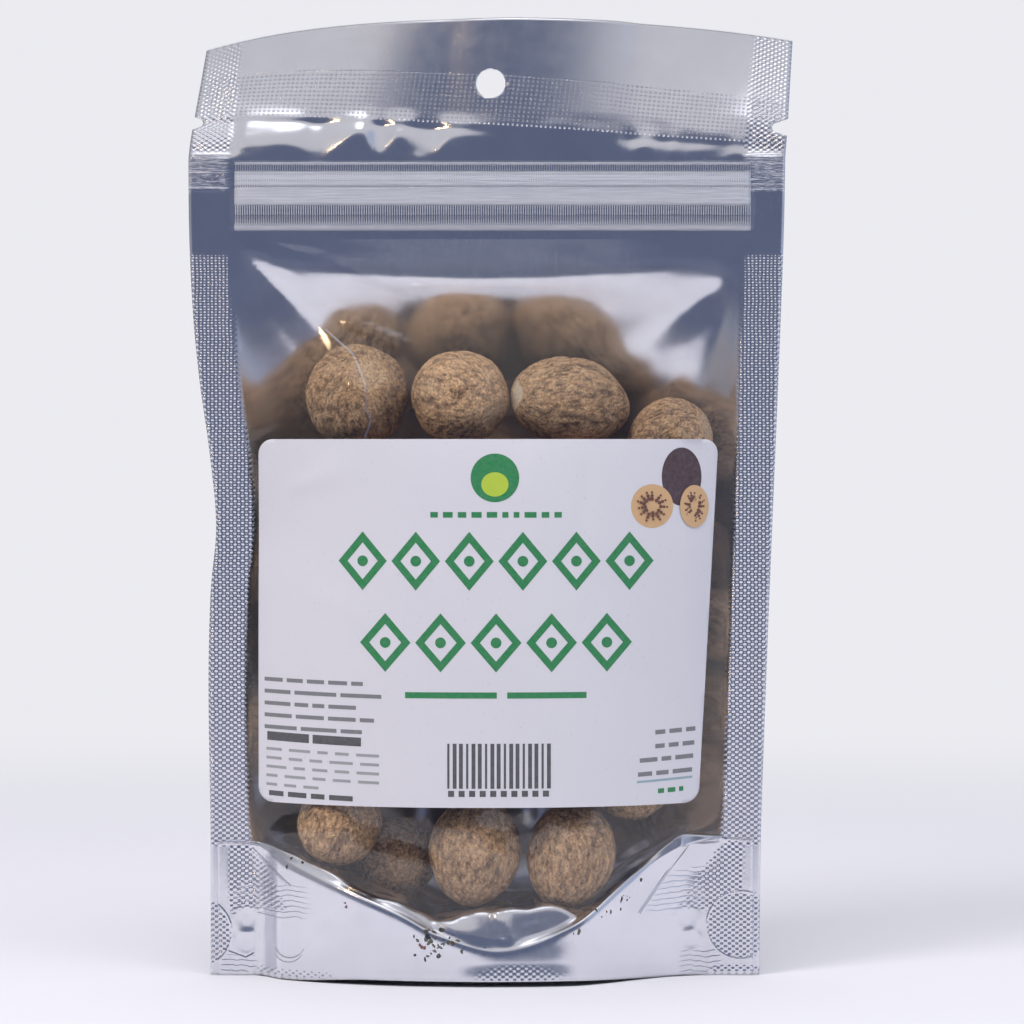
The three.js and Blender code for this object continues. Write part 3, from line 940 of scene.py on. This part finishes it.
# How milky the strip is: height and share.
STRIP_MILKY = [
    (STRIP_FOOT, 0.5), (163.4, 0.8), (163.9, 0.6), (164.6, 0.3), (166.2, 0.12), (167.8, 0.2), (168.3, 0.6),
    (168.9, 0.85), (171.6, 0.85), (172.1, 0.7), (172.7, 0.9), (175.3, 0.9), (175.7, 0.25), (176.8, 0.15),
    (177.2, 0.6), (ZIP_TOP, 0.6),
]


def surface_tree(piece):
    mesh = piece.data
    return BVHTree.FromPolygons([v.co for v in mesh.vertices], [p.vertices for p in mesh.polygons])


def press_over(tree, x, height, offset, side):
    """Moves a film's places out to where the nutmegs hold it."""
    inwards = Vector((0, -side, 0))
    pressed = offset.copy()
    for i in np.flatnonzero(height < SEEDS_BELOW):
        hit = tree.ray_cast(Vector((x[i], side * RAY_START, height[i])) * MM, inwards)[0]
        if hit is None:
            continue
        held = side * hit.y / MM + FILM_THICKNESS + NUT_CLEARANCE
        free = side * offset[i]
        if held > free - PRESS_REACH:  # a soft step, so that the film leaves the seed gradually
            pressed[i] = side * (held + free + math.hypot(held - free, SOFT_STEP)) / 2
    return pressed


def film(name, side, cutters, tree):
    piece, across, up = grid_sheet(name, FILM_COLUMNS, FILM_ROWS)
    height = np.interp(up, *zip(*ROW_SHARES))
    left, right = edges(height)
    x = left + (right - left) * across
    if side == FRONT:
        height = height + lower_edge_lift(x) * np.maximum(1 - height / LIFT_FADES_AT, 0)
    offset = press_over(tree, x, height, film_offset(x, height, side), side)
    set_points(piece, bend_header(x, height, offset))
    write_flat_map(piece, x, height)
    crushed = crushed_mask(x, height)
    write_shares(piece, weave=weave_mask(x, height), dots=dot_mask(x, height), crushed=crushed)
    if side == BACK:
        only(piece)
        in_edit(lambda: bpy.ops.mesh.flip_normals())
    thicken(piece, FILM_THICKNESS)
    return smooth(cut(piece, cutters))


def gusset(tree):
    """Silver film folded into the base: up inside the front skirt, across under the nutmegs and down
    inside the back skirt."""
    piece, across, up = grid_sheet("gusset", GUSSET_CELLS, GUSSET_CELLS)
    left, right = edges(10.0)
    x = left + GUSSET_MARGIN + (right - left - 2 * GUSSET_MARGIN) * across
    line = gusset_line(x)
    front_part = np.clip(up / SKIRT_SHARE, 0, 1)
    back_part = np.clip((1 - up) / SKIRT_SHARE, 0, 1)
    level = np.clip((up - SKIRT_SHARE) / (1 - 2 * SKIRT_SHARE), 0, 1) * 2 - 1
    height = line * np.minimum(front_part, back_part) + lower_edge_lift(x) * (1 - front_part)
    front_y, back_y = [
        side * np.maximum(swell(x, height, side) + film_relief(x, height, side) - SKIRT_INSET, 0.03)
        for side in (FRONT, BACK)
    ]
    wall = np.where(up < 0.5, front_y, back_y)
    on_floor = (up > SKIRT_SHARE) & (up < 1 - SKIRT_SHARE)
    width = np.maximum((back_y - front_y) / 2, 0)
    y = np.where(on_floor, (front_y + back_y) / 2 + level * width, wall)
    rising = 1 - smoothstep(np.abs(level), 0.88, 1.0)
    brow = np.maximum(station_value(GUSSET_BROW, x) - line, 0.2) * rising
    sag = HOLLOW_FOLD_RISE * (1 - level**2) * smoothstep(width, 1, 8)
    facets = np.abs(cloudy(x, 1.4 * y, 9, 71)) + 0.5 * np.abs(cloudy(x, y, 4.5, 72))
    crumple = 0.7 * (facets - 0.5) * (1 - level**8) * smoothstep(width, 4, 12)
    height = np.where(on_floor, line + brow + sag + crumple, height)
    folded = fold_relief(x, height, GUSSET_FACETS) * smoothstep(-level, 0.7, 0.9)
    folded = folded * smoothstep(1 + level, 0, 0.03)
    y = y - np.where(on_floor, folded, 0)
    for i in np.flatnonzero(on_floor):
        hit = tree.ray_cast(Vector((x[i], y[i], 0)) * MM, Vector((0, 0, 1)))[0]
        if hit is not None:
            height[i] = min(height[i], hit.z / MM - FILM_THICKNESS - SEED_CLEARANCE)
    set_points(piece, np.stack([x, y, height], axis=1))
    write_flat_map(piece, x, np.where(on_floor, 30 + y, height))
    weave, ripples = [np.where(on_floor, 0, mask(x, height)) for mask in (weave_mask, ripple_mask)]
    write_shares(piece, weave=weave, ripples=ripples, dots=np.zeros_like(x))
    thicken(piece, -FILM_THICKNESS)
    return smooth(piece)


def zip_strip():
    piece, across, up = grid_sheet("zip_strip", 120, 80)
    height = STRIP_FOOT + (ZIP_TOP - STRIP_FOOT) * up
    x = STRIP_ENDS[0] + (STRIP_ENDS[1] - STRIP_ENDS[0]) * across
    inside = -film_offset(x, height, FRONT) - FILM_THICKNESS - STRIP_GAP
    set_points(piece, bend_header(x, height, -inside))
    write_flat_map(piece, x, height)
    write_shares(piece, milky=station_value(STRIP_MILKY, height))
    thicken(piece, STRIP_THICKNESS)
    return smooth(piece)


# ---- label and its print ----------------------------------------------------------------------

LABEL_OUTLINE = [
    (LABEL_LEFT, LABEL_BOTTOM), (LABEL_BOTTOM_RIGHT, LABEL_BOTTOM),
    (LABEL_TOP_RIGHT, LABEL_TOP), (LABEL_LEFT, LABEL_TOP),
]
# Soft folds of the label: as the films' folds.
LABEL_FOLDS = [
    ((-44, 106), (-30, 112), 4, 0.35, False), ((8, 117), (10, 92), 5, 0.28, False),
    ((22, 116), (16, 84), 3, -0.22, False), ((41, 100), (44, 60), 5, 0.3, False),
    ((30, 70), (44, 52), 4, -0.25, False), ((-40, 84), (-22, 76), 5, 0.22, False),
]
PRINT_PLANE = -30  # y of the print before it is projected onto the label
PRINT_CELL = 1.5
PRINT_GAP = 0.03
PRINT_STEP = 0.012  # between the layers of a picture
PRINT_LAYERS = 18
GREEN = (0.0, 0.19, 0.048, 1)
LIME = (0.42, 0.55, 0.02, 1)
DARK = (0.06, 0.06, 0.065, 1)
GREY = (0.17, 0.17, 0.18, 1)
PALE_GREY = (0.30, 0.30, 0.31, 1)
RULE_BLUE = (0.27, 0.38, 0.42, 1)
PLUM = (0.045, 0.014, 0.022, 1)
TAN = (0.60, 0.36, 0.17, 1)
BROWN = (0.115, 0.030, 0.014, 1)


def label_creases(x, height):
    """How far the label's folds stand out, in mm."""
    return fold_relief(x, height, LABEL_FOLDS) + 0.05 * cloudy(x, height, 18, 5)


def label_sheet():
    piece, across, up = grid_sheet("label_sheet", 100, 80)
    margin = 1
    x = LABEL_LEFT - margin + (LABEL_TOP_RIGHT - LABEL_LEFT + 2 * margin) * across
    height = LABEL_BOTTOM - margin + (LABEL_TOP - LABEL_BOTTOM + 2 * margin) * up
    y = -(swell(x, height, FRONT) + LABEL_GAP + LABEL_THICKNESS + label_creases(x, height))
    set_points(piece, np.stack([x, y, height], axis=1))
    thicken(piece, LABEL_THICKNESS)
    outline = prism("label_outline", LABEL_OUTLINE, LABEL_CORNER)
    return smooth(cut(piece, [outline], "INTERSECT"))


def inked(piece, colour):
    layer = piece.data.color_attributes.new(name="ink", type="FLOAT_COLOR", domain="POINT")
    layer.data.foreach_set("color", np.tile(colour, len(piece.data.vertices)))
    return piece


def place_print(piece, x, height, half_width, half_height, slope=0.0):
    """Moves a shape drawn between -1 and 1 to its place in front of the label."""
    unit = points_of(piece)
    along = half_width * unit[:, 0]
    up = half_height * unit[:, 1] + slope * (along + half_width)
    set_points(piece, np.stack([x + along, np.full(len(unit), PRINT_PLANE), height + up], axis=1))


def bar(x0, x1, height, thickness, colour, slope=0.0):
    cells = max(2, round((x1 - x0) / PRINT_CELL)), max(1, round(thickness / PRINT_CELL))
    piece = grid_sheet("bar", *cells)[0]
    place_print(piece, (x0 + x1) / 2, height, (x1 - x0) / 2, thickness / 2, slope)
    return inked(piece, colour)


def disc(x, height, half_width, half_height, colour, rings=4, sides=40):
    add_circle = bpy.ops.mesh.primitive_circle_add
    piece = primitive(add_circle, "disc", vertices=sides, radius=1, fill_type="TRIFAN")
    in_edit(lambda: bpy.ops.mesh.subdivide(number_cuts=rings - 1))
    place_print(piece, x, height, half_width, half_height)
    return inked(piece, colour)


def lozenge(x, height, half_width, half_height, stroke, colour):
    """An outlined lozenge: a square whose inside is taken out."""
    add_circle = bpy.ops.mesh.primitive_circle_add
    piece = primitive(add_circle, "lozenge", vertices=4, radius=1, fill_type="NGON")
    place_print(piece, x, height, half_width, half_height)
    in_edit(
        lambda: bpy.ops.mesh.inset(thickness=stroke * MM),
        lambda: bpy.ops.mesh.delete(type="FACE"),
        lambda: bpy.ops.mesh.select_all(action="SELECT"),
        lambda: bpy.ops.mesh.subdivide(number_cuts=5),
    )
    return inked(piece, colour)


def text_bars(x0, x1, height, thickness, colour, words, seed, slope=0.0, gap=0.9):
    """A row of short bars where a line of small print would be."""
    draw = random.Random(seed)
    lengths = [draw.uniform(0.6, 1.4) for _ in range(words)]
    room = (x1 - x0 - gap * (words - 1)) / sum(lengths)
    bars = []
    x = x0
    for length in lengths:
        bars.append(bar(x, x + length * room, height + slope * (x - x0), thickness, colour, slope))
        x += length * room + gap
    return bars


def title_rows():
    shapes = []
    for height, left, right, count in ((91.0, -33.6, 35.1, 6), (73.6, -28.9, 30.4, 5)):
        step = (right - left) / count
        for i in range(count):
            middle = left + step * (i + 0.5)
            shapes.append(lozenge(middle, height, step / 2 - 0.5, 6.3, 1.5, GREEN))
            shapes.append(disc(middle, height, 1.15, 1.15, GREEN, rings=2, sides=24))
    return shapes


def emblem():
    return [
        disc(0.5, 108.8, 5.2, 5.2, GREEN),
        disc(0.5, 107.4, 2.9, 2.6, LIME),
    ]


def small_print():
    rows = []
    rows += text_bars(-13.3, 14.8, 100.9, 1.2, GREEN, 10, 3, gap=1.1)
    rows += text_bars(-18.7, 20.1, 62.4, 1.3, GREEN, 2, 4, gap=2.2)
    for i, (right, words) in enumerate(((-27.8, 5), (-23.8, 3), (-29.3, 4), (-25.4, 4), (-28.0, 3))):
        rows += text_bars(-49.6, right, 65.1 - 2.58 * i, 0.85, GREY, words, 20 + i, slope=-0.022)
    rows += text_bars(-49.0, -28.2, 52.8, 1.9, DARK, 2, 31, slope=-0.03, gap=0.8)
    for i, (right, words) in enumerate(((-24.3, 5), (-24.3, 5), (-24.3, 5), (-24.3, 5), (-37.5, 3))):
        rows += text_bars(-49.2, right, 50.0 - 1.92 * i, 0.62, PALE_GREY, words, 40 + i, slope=-0.03, gap=1.6)
    rows += text_bars(-48.6, -30.0, 40.4, 1.1, DARK, 4, 51, slope=-0.025, gap=1.0)
    for i, left in enumerate((35.0, 35.0, 31.6, 31.2)):
        rows += text_bars(left, 43.9 - 0.25 * i, 54.0 - 3.0 * i, 0.95, GREY, 3, 60 + i, slope=0.05)
    rows.append(bar(31.0, 43.2, 43.4, 0.5, RULE_BLUE, 0.05))
    rows += text_bars(35.6, 41.2, 41.3, 1.0, GREEN, 3, 71, slope=0.05, gap=0.8)
    return rows


def stripes():
    """A block of even dark stripes above a row of small blocks."""
    made = []
    count = 17
    left, right = -10.1, 12.7
    step = (right - left) / count
    for i in range(count):
        width = step * (0.62 if i % 3 else 0.36)
        middle = left + step * (i + 0.5)
        made.append(bar(middle - width / 2, middle + width / 2, 47.3, 9.6, DARK))
    for i in range(10):
        made.append(bar(left + 0.6 + 2.25 * i, left + 1.9 + 2.25 * i, 41.4, 1.3, DARK))
    return made


def seed_picture():
    """A plum oval and two tan rounds with brown spokes."""
    shapes = [disc(40.8, 109.0, 4.4, 6.3, PLUM)]
    for x, height, half_width, half_height, seed in ((34.3, 102.7, 4.6, 4.7, 8), (43.6, 102.6, 3.2, 4.6, 9)):
        shapes.append(disc(x, height, half_width, half_height, TAN))
        draw = random.Random(seed)
        for spoke in range(13):
            turn = 2 * math.pi * (spoke + draw.uniform(-0.25, 0.25)) / 13
            start = draw.uniform(0.3, 0.42)
            for step, size in enumerate((0.42, 0.36, 0.26)):
                reach = start + 0.15 * step
                shapes.append(disc(
                    x + half_width * reach * math.cos(turn), height + half_height * reach * math.sin(turn),
                    size, size, BROWN, rings=1, sides=7,
                ))
    return shapes


def label_print(label):
    """All print as thin patches. Shapes of the same picture are stacked a hair apart."""
    ranked = [(shape, 0) for shape in title_rows() + small_print() + stripes()]
    for picture in (emblem(), seed_picture()):
        ranked += [(shape, min(order, PRINT_LAYERS)) for order, shape in enumerate(picture)]
    pieces = []
    for shape, rank in ranked:
        wrap = shape.modifiers.new("onto_label", "SHRINKWRAP")
        wrap.target = label
        wrap.wrap_method = "PROJECT"
        wrap.use_project_y = True
        wrap.use_positive_direction = True
        wrap.use_negative_direction = False
        wrap.offset = (PRINT_GAP + PRINT_STEP * rank) * MM
        pieces.append(apply_modifiers(shape))
    return join("label_print", pieces)


# ---- nutmegs ----------------------------------------------------------------------------------

NUTMEGS = [
    # x, y, height of the middle; half width, half length; turn of its long axis (degrees about X, Y, Z)
    (-29.9, 0.5, 126.3, 11.3, 11.8, (64, 18, 10)),
    (-7.4, -2.6, 126.3, 10.4, 11.0, (118, -30, 40)),
    (16.8, -2.0, 125.2, 9.8, 13.5, (4, -82, 16)),
    (38.6, 0.1, 117.0, 9.0, 9.6, (70, 30, 60)),
    (-33.6, -4.4, 33.6, 9.2, 9.8, (24, 30, 0)),
    (-21.2, 6.0, 25.2, 8.8, 9.6, (100, 10, 20)),
    (-3.9, -8.0, 27.7, 10.0, 12.0, (8, 6, 50)),
    (16.7, -8.0, 26.8, 9.5, 12.0, (-8, -10, 200)),
    (30.1, 4.5, 42.6, 9.2, 9.8, (60, 60, 0)),
]
PALE_ENDED = 2  # the lying one shows its pale end
HIDDEN_NUTMEGS = [
    # x, y, height of the middle; half width
    (-38.8, -0.1, 52.7, 10.0), (-14.0, 6.0, 50.0, 10.0), (9.0, -6.0, 50.0, 9.7), (36.5, -1.0, 58.8, 8.8),
    (-30.0, -5.5, 70.0, 9.3), (-6.0, 6.0, 70.0, 9.6), (17.0, -6.0, 70.0, 9.6), (38.0, 0.2, 76.4, 8.6),
    (-38.0, -0.5, 89.0, 9.2), (-15.0, 6.0, 89.0, 10.2), (8.0, -6.0, 89.0, 9.9), (26.6, 6.0, 90.4, 8.9),
    (-22.0, -5.7, 106.0, 9.6), (0.0, 6.0, 106.0, 10.2), (21.0, -5.6, 105.5, 10.1),
]
NEAR_CELLS = (112, 64)  # segments round a seed and rings up it
FAR_CELLS = (48, 28)


def nutmeg(name, half_width, half_length, cells, seed, scar=0.0):
    """One seed standing on end: an ovoid with wandering lengthwise furrows and a pale scar on top."""
    add_sphere = bpy.ops.mesh.primitive_uv_sphere_add
    piece = primitive(add_sphere, name, segments=cells[0], ring_count=cells[1], radius=1)
    unit = points_of(piece)
    shift = Vector((seed * 7.31, seed * 3.17, seed * 5.93))
    points = np.zeros_like(unit)
    furrows = np.zeros(len(unit))
    for i, (x, y, z) in enumerate(unit):
        place = Vector((x, y, z))
        lumps = noise.noise(place * 1.3 + shift) * 0.05 + noise.noise(place * 2.7 - shift) * 0.022
        wander = noise.noise(place * 2.4 + shift * 2) * 0.5
        lines = noise.noise(Vector((x * 6.5 + wander, y * 6.5 - wander, z * 2.0)) + shift)
        fine = noise.noise(Vector((x * 13 + wander, y * 13, z * 4.4 - wander)) - shift)
        furrow = 0.8 * max(0, 1 - abs(lines) * 5.5) + 0.5 * max(0, 1 - abs(fine) * 6)
        furrow *= min(1, 3.2 * (1 - z * z))
        taper = 1 + 0.045 * z - 0.05 * z * z
        width = half_width * (taper + lumps) - 0.42 * furrow
        points[i] = (x * width, y * width, z * (half_length * (1 + lumps * 0.5) - 0.2 * furrow))
        furrows[i] = min(1, furrow)
    cap = smoothstep(unit[:, 2] + 0.012 * np.sin(3 * np.arctan2(unit[:, 1], unit[:, 0])), 0.93, 0.97)
    points[:, 2] -= 0.05 * half_length * cap
    set_points(piece, points)
    own = piece.data.attributes.new(name="own_place", type="FLOAT_VECTOR", domain="POINT")
    own.data.foreach_set("vector", (points + seed * 40).astype(np.float32).ravel())
    tone = np.full(len(unit), random.Random(seed).random())
    # the furrow share is also where nutmeg_shell paints shade into the seed's colour
    write_shares(piece, furrow=furrows * (1 - cap), scar=scar * cap, tone=tone)
    return smooth(piece)


def lay(piece, place, turn):
    """Turns a seed about X, Y and Z and moves it to its place in mm."""
    turned = Euler(turn).to_matrix().to_4x4()
    piece.data.transform(Matrix.Translation(Vector(place) * MM) @ turned)
    return piece


def nutmegs():
    draw = random.Random(17)
    pieces = []
    for i, (x, y, height, half_width, half_length, turn) in enumerate(NUTMEGS):
        scar = 0.9 if i == PALE_ENDED else 0.15
        piece = nutmeg(f"near_{i}", half_width, half_length, NEAR_CELLS, i + 1, scar)
        pieces.append(lay(piece, (x, y, height), [math.radians(t) for t in turn]))
    for x, y, height, half_width in HIDDEN_NUTMEGS:
        half_length = half_width * draw.uniform(1.0, 1.08)
        piece = nutmeg("far", half_width, half_length, FAR_CELLS, 30 + len(pieces))
        pieces.append(lay(piece, (x, y, height), [draw.uniform(0, 2 * math.pi) for _ in range(3)]))
    return join("nutmegs", pieces)


# ---- herb flakes ------------------------------------------------------------------------------

FLAKE_PATCHES = [
    # middle (x, height), spread across and up, number
    ((-12.1, 9.3), 4.6, 2.9, 44), ((-2, 9), 3.6, 1.0, 12), ((-45, 24.8), 3.6, 1.6, 4),
    ((-30.9, 17.4), 1.0, 1.4, 3), ((27.5, 17.2), 1.5, 2.4, 7), ((23.7, 15.2), 1.6, 1.0, 5),
    ((17.9, 11.5), 0.8, 0.8, 3), ((32.1, 21.9), 0.5, 0.5, 1),
]
LOWEST_FLAKE = 1.5
FLAKE_HALF_THICKNESS = 0.09
FLAKE_GAP = 0.11  # from the front film's inner face to the middle of a flake


def herb_flakes():
    """Dark crumbs of leaf that lie between the front film and the gusset's skirt."""
    draw = random.Random(23)
    pieces = []
    for (x0, h0), spread_x, spread_up, count in FLAKE_PATCHES:
        for _ in range(count):
            x, height = draw.gauss(x0, spread_x / 1.8), max(LOWEST_FLAKE, draw.gauss(h0, spread_up / 1.8))
            piece = primitive(bpy.ops.mesh.primitive_ico_sphere_add, "flake", subdivisions=1, radius=1)
            size = draw.uniform(0.25, 0.8)
            unit = points_of(piece)
            jitter = np.array([draw.uniform(0.6, 1.3) for _ in range(len(unit))])[:, None]
            flat = unit * jitter * (size, FLAKE_HALF_THICKNESS, size * draw.uniform(0.35, 0.9))
            turn = draw.uniform(0, math.pi)
            c, s = math.cos(turn), math.sin(turn)
            across, thick, up = flat.T
            turned = np.stack([across * c - up * s, thick, across * s + up * c], axis=1)
            y = float(film_offset(np.array(x), np.array(height), FRONT)) + FILM_THICKNESS + FLAKE_GAP
            set_points(piece, turned + (x, y, height))
            pieces.append(piece)
    return join("herb_flakes", pieces)


# ---- the object -------------------------------------------------------------------------------

def finish_piece(piece, material, slot, *replaced):
    piece.data.materials.clear()
    piece.data.materials.append(material)
    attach(piece, "root")
    if replaced:
        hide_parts(*replaced)
    return piece


left_edge_x = float(edges(LEFT_NOTCH_HEIGHT)[0])
right_edge_x = float(edges(RIGHT_NOTCH_HEIGHT)[1])
cutters = [
    hang_hole(),
    tear_notch("left_notch_cutter", left_edge_x, LEFT_NOTCH_HEIGHT, 1),
    tear_notch("right_notch_cutter", right_edge_x, RIGHT_NOTCH_HEIGHT, -1),
]
foil = foil_material("silver_foil", has_base_shapes=False)
base_foil = foil_material("base_foil", has_crushed_ends=False)
seeds = surface_tree(finish_piece(nutmegs(), nutmeg_material(), "nutmeg"))
finish_piece(film("front_film", FRONT, cutters, seeds), clear_film_material(), "clear_film", "pouch")
finish_piece(film("back_film", BACK, cutters, seeds), foil, "metallic_film")
finish_piece(gusset(seeds), base_foil, "metallic_film")
finish_piece(zip_strip(), strip_material(), "clear_film")
label = finish_piece(label_sheet(), label_material(), "label_paper", "label")
finish_piece(label_print(label), print_material(), "label_print")
finish_piece(herb_flakes(), flake_material(), "herb_flakes")
for helper in list(bpy.data.objects):
    if "cutter" in helper.name or helper.name == "label_outline":
        bpy.data.objects.remove(helper)


# ---- floor, light and camera ------------------------------------------------------------------

FLOOR_COLOUR = (0.775, 0.76, 0.80, 1)
BACKDROP_COLOUR = (0.83, 0.83, 0.875, 1)
# The studio is in metres.
FLOOR_PLACE = (0, 0.6, -0.0002)  # a hair below the pouch
FLOOR_SIZE = (2.6, 1.82)
FLOOR_FADE = (0.22, 0.75)  # how far from the pouch it starts and ends fading into the backdrop
BACKDROP_RADIUS = 3
LIT_PLACE = (0, 0, 0.1)  # what the lamps point at
CAMERA_PLACE = (0.00415, -0.85, 0.115)
CAMERA_TARGET = (0.00415, 0, 0.1012)
CAMERA_LENS = 136.8


def floor():
    """White board that ends a little way in front of the pouch and fades into the backdrop behind."""
    board = primitive(bpy.ops.mesh.primitive_plane_add, "floor", size=1, location=FLOOR_PLACE)
    board.scale = (*FLOOR_SIZE, 1)
    recipe = Recipe("floor_white")
    away = recipe.vector("LENGTH", recipe.node("ShaderNodeNewGeometry").outputs["Position"], output="Value")
    speckle = recipe.scaled(recipe.noise(recipe.coordinates(), 40.0), 0.9, 0.98)
    lit = recipe.principled(FLOOR_COLOUR, speckle, specular=0.1)
    faded = recipe.layered(recipe.share(away, *FLOOR_FADE), lit, recipe.glow(BACKDROP_COLOUR))
    board.data.materials.append(recipe.finish(faded))


def backdrop():
    """A pale bowl that only the camera sees."""
    add_sphere = bpy.ops.mesh.primitive_uv_sphere_add
    bowl = primitive(add_sphere, "backdrop", segments=64, ring_count=32, radius=BACKDROP_RADIUS)
    recipe = Recipe("backdrop_white")
    bowl.data.materials.append(recipe.finish(recipe.glow(BACKDROP_COLOUR)))
    bowl.visible_diffuse = False
    bowl.visible_glossy = False
    bowl.visible_transmission = False
    bowl.visible_shadow = False


def aim(thing, target):
    direction = Vector(target) - thing.location
    thing.rotation_euler = direction.to_track_quat("-Z", "Y").to_euler()


def softbox(name, place, target, width, height, power, colour=(1, 1, 1), is_mirrored=True):
    data = bpy.data.lights.new(name, "AREA")
    data.shape = "RECTANGLE"
    data.size = width
    data.size_y = height
    data.energy = power
    data.color = colour
    light = bpy.data.objects.new(name, data)
    bpy.context.collection.objects.link(light)
    light.location = place
    aim(light, target)
    light.visible_glossy = is_mirrored
    return light


def studio():
    """A pale room with a dark wall behind the camera, greyer at the left, bluer at the right and with a
    bright panel overhead. Only the last of its lamps shows in mirrors."""
    recipe = Recipe("studio", "World")
    x, y, height = recipe.parts(recipe.node("ShaderNodeTexCoord").outputs["Generated"])
    low = recipe.times(recipe.share(height, 0.59, 0.48), recipe.share(height, -0.85, -0.6))
    behind_camera = recipe.times(recipe.share(y, -0.60, -0.86), low)
    level = recipe.times(recipe.share(height, 0.75, 0.5), recipe.share(height, -0.5, -0.2))
    at_left = recipe.times(recipe.share(x, -0.35, -0.75), level, 0.5)
    at_right = recipe.times(recipe.share(x, 0.4, 0.8), level, 0.8)
    aside = recipe.math("ABSOLUTE", x)
    overhead = recipe.times(
        recipe.share(aside, 0.25, 0.1), recipe.share(height, 0.84, 0.90), recipe.share(y, 0.1, -0.1)
    )
    colour = recipe.mix(recipe.share(height, -0.2, 0.7), (0.62, 0.64, 0.72, 1), (0.80, 0.80, 0.84, 1))
    colour = recipe.mix(at_left, colour, (0.12, 0.125, 0.15, 1))
    colour = recipe.mix(at_right, colour, (0.46, 0.56, 0.78, 1))
    colour = recipe.mix(overhead, colour, (2.4, 2.4, 2.5, 1))
    colour = recipe.mix(behind_camera, colour, (0.15, 0.18, 0.28, 1))
    background = recipe.node("ShaderNodeBackground", {"Color": colour, "Strength": 0.85})
    bpy.context.scene.world = recipe.finish(background.outputs[0])

    softbox("key", (-0.75, -0.75, 0.95), LIT_PLACE, 0.45, 0.45, 7.5, is_mirrored=False)
    softbox("top", (0.15, -0.55, 1.1), LIT_PLACE, 0.9, 0.5, 4.2, is_mirrored=False)
    softbox("window", (1.1, -0.35, 0.35), LIT_PLACE, 0.3, 0.6, 1.6, (0.78, 0.88, 1.0), is_mirrored=False)
    softbox("lamp", (-0.42, -0.75, 0.62), LIT_PLACE, 0.05, 0.05, 0.3, (1.0, 0.72, 0.40))


def camera():
    data = bpy.data.cameras.new("camera")
    data.lens = CAMERA_LENS
    data.sensor_width = 36
    data.clip_start = 0.01
    data.clip_end = 20
    view = bpy.data.objects.new("camera", data)
    bpy.context.collection.objects.link(view)
    view.location = CAMERA_PLACE
    aim(view, CAMERA_TARGET)
    bpy.context.scene.camera = view


floor()
backdrop()
studio()
camera()
bpy.context.scene.view_settings.view_transform = "Standard"
